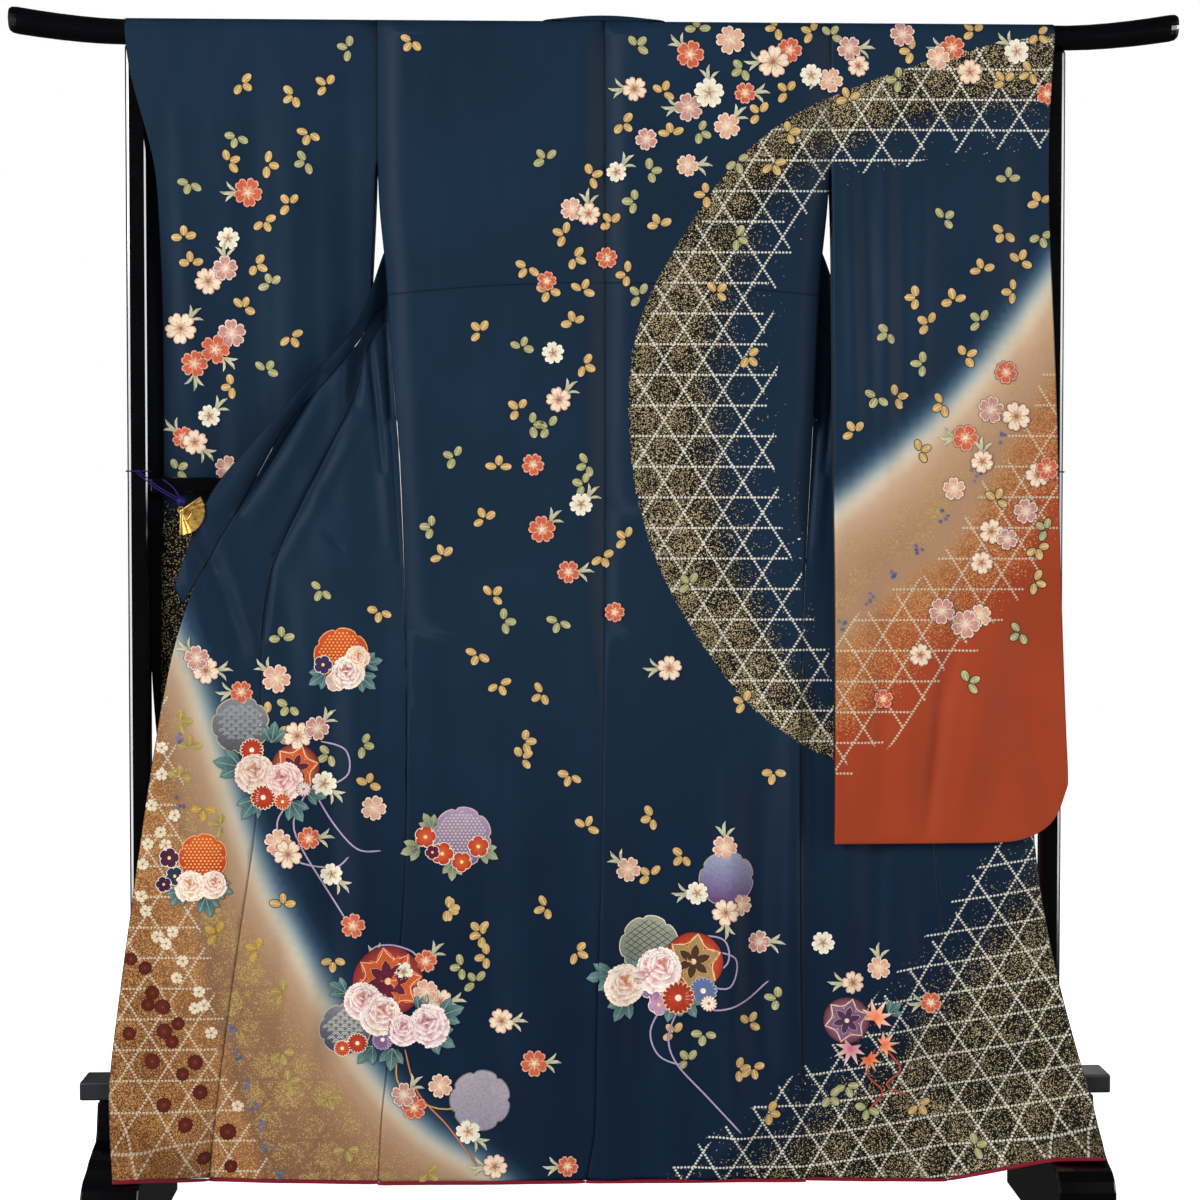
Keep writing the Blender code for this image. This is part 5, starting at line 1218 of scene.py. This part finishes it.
def layFigures():
    # each shape goes on the panel that shows at its middle, and is trimmed at that panel's edge
    trees = {}
    for name, piece in panels.items():
        if name != "collar":
            faces = [tuple(p.vertices) for p in piece.data.polygons if p.material_index == 0]
            trees[name] = BVHTree.FromPolygons([v.co.copy() for v in piece.data.vertices], faces)
    made = {name: ([], [], []) for name in trees}
    for ring, (middle, middleColour), layer, hidden in drawn:
        way = 1 if hidden else -1
        lift = figures["rise"] + figures["layer"] * layer
        area = sum(a[0] * b[1] - b[0] * a[1] for (a, c), (b, d) in zip(ring[-1:] + ring, ring))
        turnOver = (area > 0) == hidden
        shown = {}
        for point, colour in ring + [(middle, middleColour)]:
            best = nearestPanel(trees, point, way)
            if best:
                shown.setdefault(best[0], []).append((point, colour, best[1]))
        for name, samples in shown.items():
            if samples[-1][0] == middle:
                layShape(trees[name], made[name], ring, middle, middleColour, samples[-1][2][0], way, lift, turnOver)
            elif len(samples) > 1:
                # the shape crosses a seam: its part on this panel spreads from the points that fall there
                count = len(samples)
                at = tuple(sum(sample[0][k] for sample in samples) / count for k in (0, 1))
                start = cast(trees[name], at, way)
                if start:
                    colour = tuple(sum(sample[1][k] for sample in samples) / count for k in range(3))
                    layShape(trees[name], made[name], ring, at, colour, start[0], way, lift, turnOver)
    pieces = {}
    for name, (places, faces, colours) in made.items():
        mesh = bpy.data.meshes.new("figures_" + name)
        mesh.from_pydata(places, [], faces)
        layer = mesh.attributes.new("tint", "FLOAT_COLOR", "POINT")
        layer.data.foreach_set("color", np.array([colour + (1.0,) for colour in colours], np.float32).ravel())
        piece = pieces[name] = bpy.data.objects.new("figures_" + name, mesh)
        bpy.context.scene.collection.objects.link(piece)
        dress(piece, materials=[figureDye])
    return pieces


def paintedSilk():
    # hand-painted dye and flat silk embroidery: matt, with a fine thread grain that the eye reads as stitches
    made, tree, shader = newMaterial("paintedAndEmbroideredSilk")
    tint = add(tree, "Attribute", out="Color", attribute_name="tint")
    objectPlace = add(tree, "TexCoord", out="Object")
    mottle = add(tree, "TexNoise", {"Vector": objectPlace, "Scale": 1 / 0.004, "Detail": 2.0})
    shade = add(tree, "MapRange", [mottle, 0.3, 0.7, 0.84, 1.1])
    colour = add(tree, "VectorMath", {0: tint, "Scale": shade}, operation="SCALE")
    tree.links.new(colour, shader.inputs["Base Color"])
    thread = add(tree, "TexNoise", {"Vector": objectPlace, "Scale": 1 / 0.0016, "Detail": 2.0})
    grain = add(tree, "Bump", {"Height": thread, "Strength": 0.25, "Distance": 0.0004})
    tree.links.new(grain, shader.inputs["Normal"])
    tree.links.new(add(tree, "MapRange", [mottle, 0.3, 0.7, 0.5, 0.62]), shader.inputs["Roughness"])
    shader.inputs["Specular IOR Level"].default_value = 0.07
    return made


figureDye = paintedSilk()
figurePieces = layFigures()
print("figures laid:", {name: len(piece.data.polygons) for name, piece in figurePieces.items()})

# gilt folding-fan clips: pressed brass, gold plated, so bright ridges over deep warm valleys
fan = {"across": 0.605, "height": 1.036, "radius": 33.0 * mm, "hub": 2.5 * mm, "pleats": 9,
       "first": math.radians(35), "last": math.radians(-92),
       "pleatDepth": 1.3 * mm, "sheet": 0.7 * mm, "innerShare": 0.44, "stick": 2.4 * mm, "bead": 0.55 * mm}


def giltBrass():
    made, tree, shader = newMaterial("gildedPressedBrass")
    objectPlace = add(tree, "TexCoord", out="Object")
    cloud = add(tree, "TexNoise", {"Vector": objectPlace, "Scale": 1 / 0.006, "Detail": 3.0})
    bright = add(tree, "MapRange", [cloud, 0.35, 0.65])
    colour = add(tree, "Mix", {0: bright, 6: linear("#b98a3a"), 7: linear("#dcb868")}, out=2, data_type="RGBA")
    tree.links.new(colour, shader.inputs["Base Color"])
    tree.links.new(add(tree, "MapRange", [cloud, 0.35, 0.65, 0.24, 0.38]), shader.inputs["Roughness"])
    hammered = add(tree, "TexNoise", {"Vector": objectPlace, "Scale": 1 / 0.0022})
    dents = add(tree, "Bump", {"Height": hammered, "Strength": 0.25, "Distance": 0.0003})
    tree.links.new(dents, shader.inputs["Normal"])
    shader.inputs["Metallic"].default_value = 0.62
    return made


def selectOnly(pieces):
    bpy.ops.object.select_all(action="DESELECT")
    for piece in pieces:
        piece.select_set(True)
    bpy.context.view_layer.objects.active = pieces[0]


def onFan(pivot, sign, angle, reach, depth=0.0):
    return pivot + Vector((-sign * reach * math.cos(angle), depth, reach * math.sin(angle)))


def spinRoundPivot(pivot, sign, steps):
    # sweeps all edges of the active piece round the fan's pivot, from the first stick to the last
    bpy.ops.object.mode_set(mode="EDIT")
    bpy.ops.mesh.select_all(action="SELECT")
    bpy.ops.mesh.spin(steps=steps, angle=(fan["first"] - fan["last"]) * sign, center=pivot, axis=(0, 1, 0))
    bpy.ops.object.mode_set(mode="OBJECT")


def editMesh(piece, change):
    bm = bmesh.new()
    bm.from_mesh(piece.data)
    change(bm)
    bm.to_mesh(piece.data)
    bm.free()


def fanLeaf(pivot, sign):
    # one radial edge, spun round the pivot and pleated
    rows = [fan["hub"]] + [share * fan["radius"] for share in (0.25, fan["innerShare"], 0.72, 1.0)]
    bpy.ops.mesh.primitive_grid_add(x_subdivisions=1, y_subdivisions=len(rows) - 1, size=0.01, location=(0, 0, 0))
    leaf = bpy.context.object

    def radialEdge(bm):
        bmesh.ops.delete(bm, geom=[v for v in bm.verts if v.co.x > 0], context="VERTS")
        for v, reach in zip(sorted(bm.verts, key=lambda v: v.co.y), rows):
            v.co = onFan(pivot, sign, fan["first"], reach)

    editMesh(leaf, radialEdge)
    spinRoundPivot(pivot, sign, 2 * fan["pleats"])
    # every other fold stands forward, less towards the pivot
    for v in leaf.data.vertices:
        off = v.co - pivot
        reach = math.hypot(off.x, off.z)
        turned = (fan["first"] - math.atan2(off.z, -sign * off.x)) / (fan["first"] - fan["last"])
        column = round(turned * 2 * fan["pleats"])
        share = min(1.0, 0.15 + 0.85 * max(0.0, reach / fan["radius"] - 0.2) / 0.8)
        v.co.y += (-1 if column % 2 else 1) * fan["pleatDepth"] * share
        if reach > 0.95 * fan["radius"] and column % 2:
            v.co += Vector((off.x, 0, off.z)) * 0.03
    sheet = leaf.modifiers.new("sheet", "SOLIDIFY")
    sheet.thickness = fan["sheet"]
    sheet.offset = 0.0
    edge = leaf.modifiers.new("edge", "BEVEL")
    edge.width = 0.12 * mm
    edge.segments = 1
    applyAll(leaf)
    return leaf


def fanStick(pivot, sign, angle):
    # a guard stick, a bevelled bar from the rivet to the rim
    bpy.ops.mesh.primitive_cube_add(size=1, location=onFan(pivot, sign, angle, 0.5 * fan["radius"], -1.0 * mm))
    stick = bpy.context.object
    stick.scale = (fan["radius"] + 2.5 * mm, 1.5 * mm, fan["stick"])
    stick.rotation_euler = (0, sign * angle, 0)
    bpy.ops.object.transform_apply(location=True, rotation=True, scale=True)
    rounding = stick.modifiers.new("rounding", "BEVEL")
    rounding.width = 0.45 * mm
    rounding.segments = 2
    applyAll(stick)
    return stick


def fanArc(pivot, sign):
    # the beaded arc where leaf meets sticks: a small ring of points spun along it
    bpy.ops.mesh.primitive_circle_add(vertices=8, radius=fan["bead"], location=(0, 0, 0))
    arc = bpy.context.object
    start = onFan(pivot, sign, fan["first"], fan["innerShare"] * fan["radius"], -1.0 * mm)
    outward = (start - pivot).normalized()

    def acrossTheArc(bm):
        for k, v in enumerate(bm.verts):
            a = 2 * math.pi * k / 8
            v.co = start + Vector((outward.x * math.cos(a), math.sin(a), outward.z * math.cos(a))) * fan["bead"]

    editMesh(arc, acrossTheArc)
    spinRoundPivot(pivot, sign, 24)
    editMesh(arc, lambda bm: bmesh.ops.recalc_face_normals(bm, faces=bm.faces))
    return arc


def foldingFan(side, sign):
    low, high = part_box("fan_clip_" + side)
    pivot = Vector((centreX + sign * fan["across"], (low[1] + high[1]) / 2, fan["height"]))
    parts = [fanLeaf(pivot, sign)] + [fanStick(pivot, sign, fan[end]) for end in ("first", "last")]
    parts.append(fanArc(pivot, sign))
    bpy.ops.mesh.primitive_uv_sphere_add(segments=16, ring_count=8, radius=2.3 * mm,
                                         location=pivot + Vector((0, -1.2 * mm, 0)))
    rivet = bpy.context.object
    rivet.scale = (1, 0.45, 1)
    bpy.ops.object.transform_apply(location=True, rotation=True, scale=True)
    selectOnly(parts + [rivet])
    bpy.ops.object.join()
    piece = bpy.context.object
    piece.name = "fanClip_" + side
    dress(piece, "fan_clip_" + side, [gilt])
    bpy.ops.object.shade_smooth_by_angle(angle=math.radians(28))
    bpy.ops.object.select_all(action="DESELECT")


gilt = giltBrass()
for side, sign in (("left", -1), ("right", 1)):
    foldingFan(side, sign)
    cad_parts["fan_ring_" + side].data.materials[0] = gilt
print("fans finished")

# twisted rayon cord: two plies, dark purple with a silky edge
cord = {"radius": 1.1 * mm, "lift": 1.7 * mm, "height": 1.0935, "postX": 0.6615, "postHalf": 15.0 * mm,
        "touch": 0.3 * mm, "pitch": 6.0 * mm, "step": 0.7 * mm}


def rayonCord():
    made, tree, shader = newMaterial("twistedRayonCord")
    objectPlace = add(tree, "TexCoord", out="Object")
    fibre = add(tree, "TexNoise", {"Vector": objectPlace, "Scale": 1 / 0.0008, "Detail": 2.0})
    bright = add(tree, "MapRange", [fibre, 0.3, 0.7])
    colour = add(tree, "Mix", {0: bright, 6: linear("#0d0636"), 7: linear("#26157c")}, out=2, data_type="RGBA")
    tree.links.new(colour, shader.inputs["Base Color"])
    strands = add(tree, "Bump", {"Height": fibre, "Strength": 0.5, "Distance": 0.0003})
    tree.links.new(strands, shader.inputs["Normal"])
    shader.inputs["Roughness"].default_value = 0.55
    shader.inputs["Specular IOR Level"].default_value = 0.20
    return made


def evenLine(points, step):
    fine = [Vector(p) for p in smoothLine(points, 12)]
    lengths = [0.0]
    for p, q in zip(fine, fine[1:]):
        lengths.append(lengths[-1] + (q - p).length)
    count = max(4, round(lengths[-1] / step))
    line, j = [], 0
    for k in range(count + 1):
        want = lengths[-1] * k / count
        while j < len(fine) - 2 and lengths[j + 1] < want:
            j += 1
        share = (want - lengths[j]) / max(lengths[j + 1] - lengths[j], 1e-9)
        line.append(fine[j].lerp(fine[j + 1], min(max(share, 0.0), 1.0)))
    return line


def twistedCord(name, points, nodeName, closed=False):
    # two plies wound round the line, each a little over half the cord's width
    line, radius = evenLine(points, cord["step"]), cord["radius"]
    if closed:
        line = line[:-1]
    bm = bmesh.new()
    up = Vector((0.3, 0.2, 1)).normalized()
    turns = max(1, round(len(line) * cord["step"] / cord["pitch"]))
    for ply in range(2):
        rings = []
        for i, p in enumerate(line):
            before = line[i - 1] if i or closed else line[0]
            after = line[(i + 1) % len(line)] if i + 1 < len(line) or closed else line[-1]
            way = (after - before).normalized()
            side = way.cross(up).normalized()
            over = side.cross(way)
            a = 2 * math.pi * turns * i / len(line) + math.pi * ply
            middle = p + (side * math.cos(a) + over * math.sin(a)) * radius * 0.42
            end = 0.5 if not closed and i in (0, len(line) - 1) else 1.0
            rings.append([bm.verts.new(middle + (side * math.cos(b) + over * math.sin(b)) * radius * 0.58 * end)
                          for b in [2 * math.pi * k / 6 for k in range(6)]])
        for i in range(len(rings) if closed else len(rings) - 1):
            here, there = rings[i], rings[(i + 1) % len(rings)]
            for k in range(6):
                bm.faces.new((here[k], here[(k + 1) % 6], there[(k + 1) % 6], there[k]))
        if not closed:
            bm.faces.new(rings[0])
            bm.faces.new(list(reversed(rings[-1])))
    bmesh.ops.recalc_face_normals(bm, faces=bm.faces)
    piece = newPiece(name, bm)
    dress(piece, nodeName, [purple])
    return piece, line


def besideKnot(knot, half, way, gap):
    # the point just outside the knot's box, seen as an ellipsoid, along a way out of it
    return knot + way * (1 / math.sqrt(sum((way[k] / half[k]) ** 2 for k in range(3))) + gap)


def cordKnot(side, knot, half):
    # a ball of crossing turns with a short tuft
    parts = []
    for k, (tiltX, tiltZ) in enumerate(((0, 0), (58, 20), (-58, -25), (25, 80), (-30, 115), (90, 50))):
        bpy.ops.mesh.primitive_torus_add(major_radius=half.x * 0.66, minor_radius=half.x * 0.27, major_segments=24,
                                         minor_segments=8, location=knot,
                                         rotation=(math.radians(90 + tiltX), 0, math.radians(tiltZ)))
        turn = bpy.context.object
        turn.scale = (1.0, 1.0 if k % 2 else 0.86, 1.0)
        bpy.ops.object.transform_apply(location=True, rotation=True, scale=True)
        parts.append(turn)
    for k in range(46):
        way = Vector((draw.uniform(-1, 1), draw.uniform(-0.7, 0.25), draw.uniform(-0.8, 1))).normalized()
        length = half.x * draw.uniform(0.45, 0.85)
        bpy.ops.mesh.primitive_cone_add(vertices=4, radius1=0.35 * mm, radius2=0.08 * mm, depth=length,
                                        location=knot + way * (half.x * 0.72 + length / 2),
                                        rotation=way.to_track_quat("Z", "Y").to_euler())
        parts.append(bpy.context.object)
        bpy.ops.object.transform_apply(location=True, rotation=True, scale=True)
    selectOnly(parts)
    bpy.ops.object.join()
    ball = bpy.context.object
    ball.name = "cordKnot_" + side
    bpy.ops.object.select_all(action="DESELECT")
    dress(ball, "cord_knot_" + side, [purple])


def clipCord(side, sign):
    # a loop round the post, two strands from it to the knot at the fan, and on the left the cord's loose end
    low, high = (Vector(corner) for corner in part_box("cord_knot_" + side))
    knot, half = (low + high) / 2, (high - low) / 2
    post = sign * cord["postX"]
    reach = cord["postHalf"] + cord["radius"] + cord["touch"] + 0.4 * mm
    loop = []
    for k in range(21):
        a = 2 * math.pi * (k + 0.5) / 20
        # a round-cornered square, as a superellipse
        wide, deep = (math.copysign(abs(part) ** 0.42, part) for part in (math.cos(a), math.sin(a)))
        loop.append((post + reach * wide, reach * deep, cord["height"]))
    twistedCord("postLoop_" + side, loop, "cord_loop_" + side, closed=True)
    start = Vector((post, -reach - 2 * cord["radius"] - cord["touch"], cord["height"]))
    out = (start - knot).normalized()
    end = besideKnot(knot, half, out, 0.9 * mm)
    across = Vector((-out.z, 0, out.x)).normalized() * sign * cord["lift"]
    for label, lift in (("upper", across), ("lower", -across)):
        path = [start + lift, start.lerp(end, 0.5) + lift + Vector((0, -0.002, -0.003)), end + lift]
        twistedCord("strand_" + label + "_" + side, path, "cord_" + label + "_" + side)
    cordKnot(side, knot, half)
    if side == "left":
        foot = besideKnot(knot, half, Vector((sign * 0.35, 0.0, 0.94)).normalized(), 0.6 * mm)
        path = [foot, foot + Vector((sign * 0.008, -0.001, 0.013)), foot + Vector((sign * 0.023, 0.001, 0.025))]
        tail, line = twistedCord("cordTail_left", path, "cord_tail_left")


purple = rayonCord()
for side, sign in (("left", -1), ("right", 1)):
    clipCord(side, sign)
print("cords finished")


def lacquer(name, colour, roughness, gloss):
    # urushi-style black lacquer over wood: deep, glassy and very slightly uneven
    made, tree, shader = newMaterial(name)
    objectPlace = add(tree, "TexCoord", out="Object")
    cloud = add(tree, "TexNoise", {"Vector": objectPlace, "Scale": 12.0, "Detail": 3.0})
    shade = add(tree, "MapRange", [cloud, 0.35, 0.65, 0.85, 1.25])
    mixed = add(tree, "VectorMath", {0: linear(colour)[:3], "Scale": shade}, operation="SCALE")
    tree.links.new(mixed, shader.inputs["Base Color"])
    shade = add(tree, "MapRange", [cloud, 0.35, 0.65, roughness * 0.85, roughness * 1.25])
    tree.links.new(shade, shader.inputs["Roughness"])
    ripple = add(tree, "TexNoise", {"Vector": objectPlace, "Scale": 30.0})
    uneven = add(tree, "Bump", {"Height": ripple, "Strength": 0.06, "Distance": 0.002})
    tree.links.new(uneven, shader.inputs["Normal"])
    shader.inputs["Specular IOR Level"].default_value = gloss
    return made


polished = lacquer("blackLacquerPolished", "#030305", 0.12, 0.70)
satin = lacquer("blackLacquerSatin", "#1b1c20", 0.40, 0.40)
for nodeName in ("rail", "post_left", "post_right", "crossbar", "foot_left", "foot_right", "plank"):
    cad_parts[nodeName].data.materials[0] = satin if nodeName == "plank" else polished
print("stand finished")

# camera at the photograph's angle, plain floor and soft light
view = {"away": 3.3, "height": 1.01, "lens": 68.2, "turned": 1.8, "down": 1.78, "aimX": 0.0029}
cameraData = bpy.data.cameras.new("camera")
cameraData.lens = view["lens"]
cameraData.sensor_width = 36.0
camera = bpy.data.objects.new("camera", cameraData)
bpy.context.scene.collection.objects.link(camera)
turned = math.radians(view["turned"])
camera.location = (view["aimX"] - view["away"] * math.sin(turned), -view["away"] * math.cos(turned), view["height"])
camera.rotation_euler = (math.radians(90 - view["down"]), 0, -turned)
bpy.context.scene.camera = camera

bpy.ops.mesh.primitive_plane_add(size=14, location=(0, 1.0, 0))
floor = bpy.context.object
floor.name = "studioFloor"
made, tree, shader = newMaterial("palePaintedFloor")
shader.inputs["Base Color"].default_value = linear("#fbfaf8")
shader.inputs["Roughness"].default_value = 0.9
shader.inputs["Emission Color"].default_value = linear("#ffffff")
# overexposed, as studio paper is, but only to the eye: it lights nothing
seen = add(tree, "LightPath", out="Is Camera Ray")
tree.links.new(add(tree, "Math", [seen, 0.85], operation="MULTIPLY"), shader.inputs["Emission Strength"])
floor.data.materials.append(made)
floor.visible_glossy = False

# a white studio: what the eye sees behind the stand is white, what lights the cloth is softer
world = bpy.data.worlds.new("studio")
bpy.context.scene.world = world
world.use_nodes = True
tree = world.node_tree
tree.nodes["Background"].inputs[0].default_value = linear("#ffffff")
rays = add(tree, "LightPath").node.outputs
strength = add(tree, "Math", [rays["Is Camera Ray"], 0.78, 0.22], operation="MULTIPLY_ADD")
# lacquer and gilt see white walls at the sides, and a dark room in front
sideways = add(tree, "SeparateXYZ", [add(tree, "TexCoord", out="Generated")])
sideways = add(tree, "Math", [sideways], operation="ABSOLUTE")
walls = add(tree, "MapRange", [sideways, 0.78, 0.95, 0.03, 0.35])
strength = add(tree, "Mix", {0: rays["Is Glossy Ray"], 2: strength, 3: walls})
tree.links.new(strength, tree.nodes["Background"].inputs[1])

lights = [
    # name, place, aim, width, height, power. The strips only glint in the lacquer and the gilt
    ("softboxLeft", (-4.6, -3.8, 3.2), (0, 0, 0.9), 2.4, 2.4, 350),
    ("softboxRight", (2.8, -2.6, 2.2), (0, 0, 0.9), 1.6, 1.6, 46),
    ("softboxBack", (0.5, 2.8, 2.4), (0, 0, 1.0), 2.0, 2.0, 50),
    ("stripLeft", (-3.2, -3.1, 1.1), (-0.66, 0, 1.1), 0.6, 2.6, 75),
    ("stripRight", (3.35, -2.95, 1.1), (0.66, 0, 1.1), 0.6, 2.6, 50),
    ("stripSide", (3.2, -0.65, 1.1), (-0.66, 0, 1.1), 1.0, 2.4, 90),
]
for name, place, aim, width, height, power in lights:
    lamp = bpy.data.lights.new(name, "AREA")
    lamp.shape = "RECTANGLE"
    lamp.size = width
    lamp.size_y = height
    lamp.energy = power
    holder = bpy.data.objects.new(name, lamp)
    holder.location = place
    holder.visible_diffuse = not name.startswith("strip")
    holder.rotation_euler = (Vector(aim) - Vector(place)).to_track_quat("-Z", "Y").to_euler()
    bpy.context.scene.collection.objects.link(holder)
bpy.context.scene.view_settings.view_transform = "Standard"
print("camera and light set")
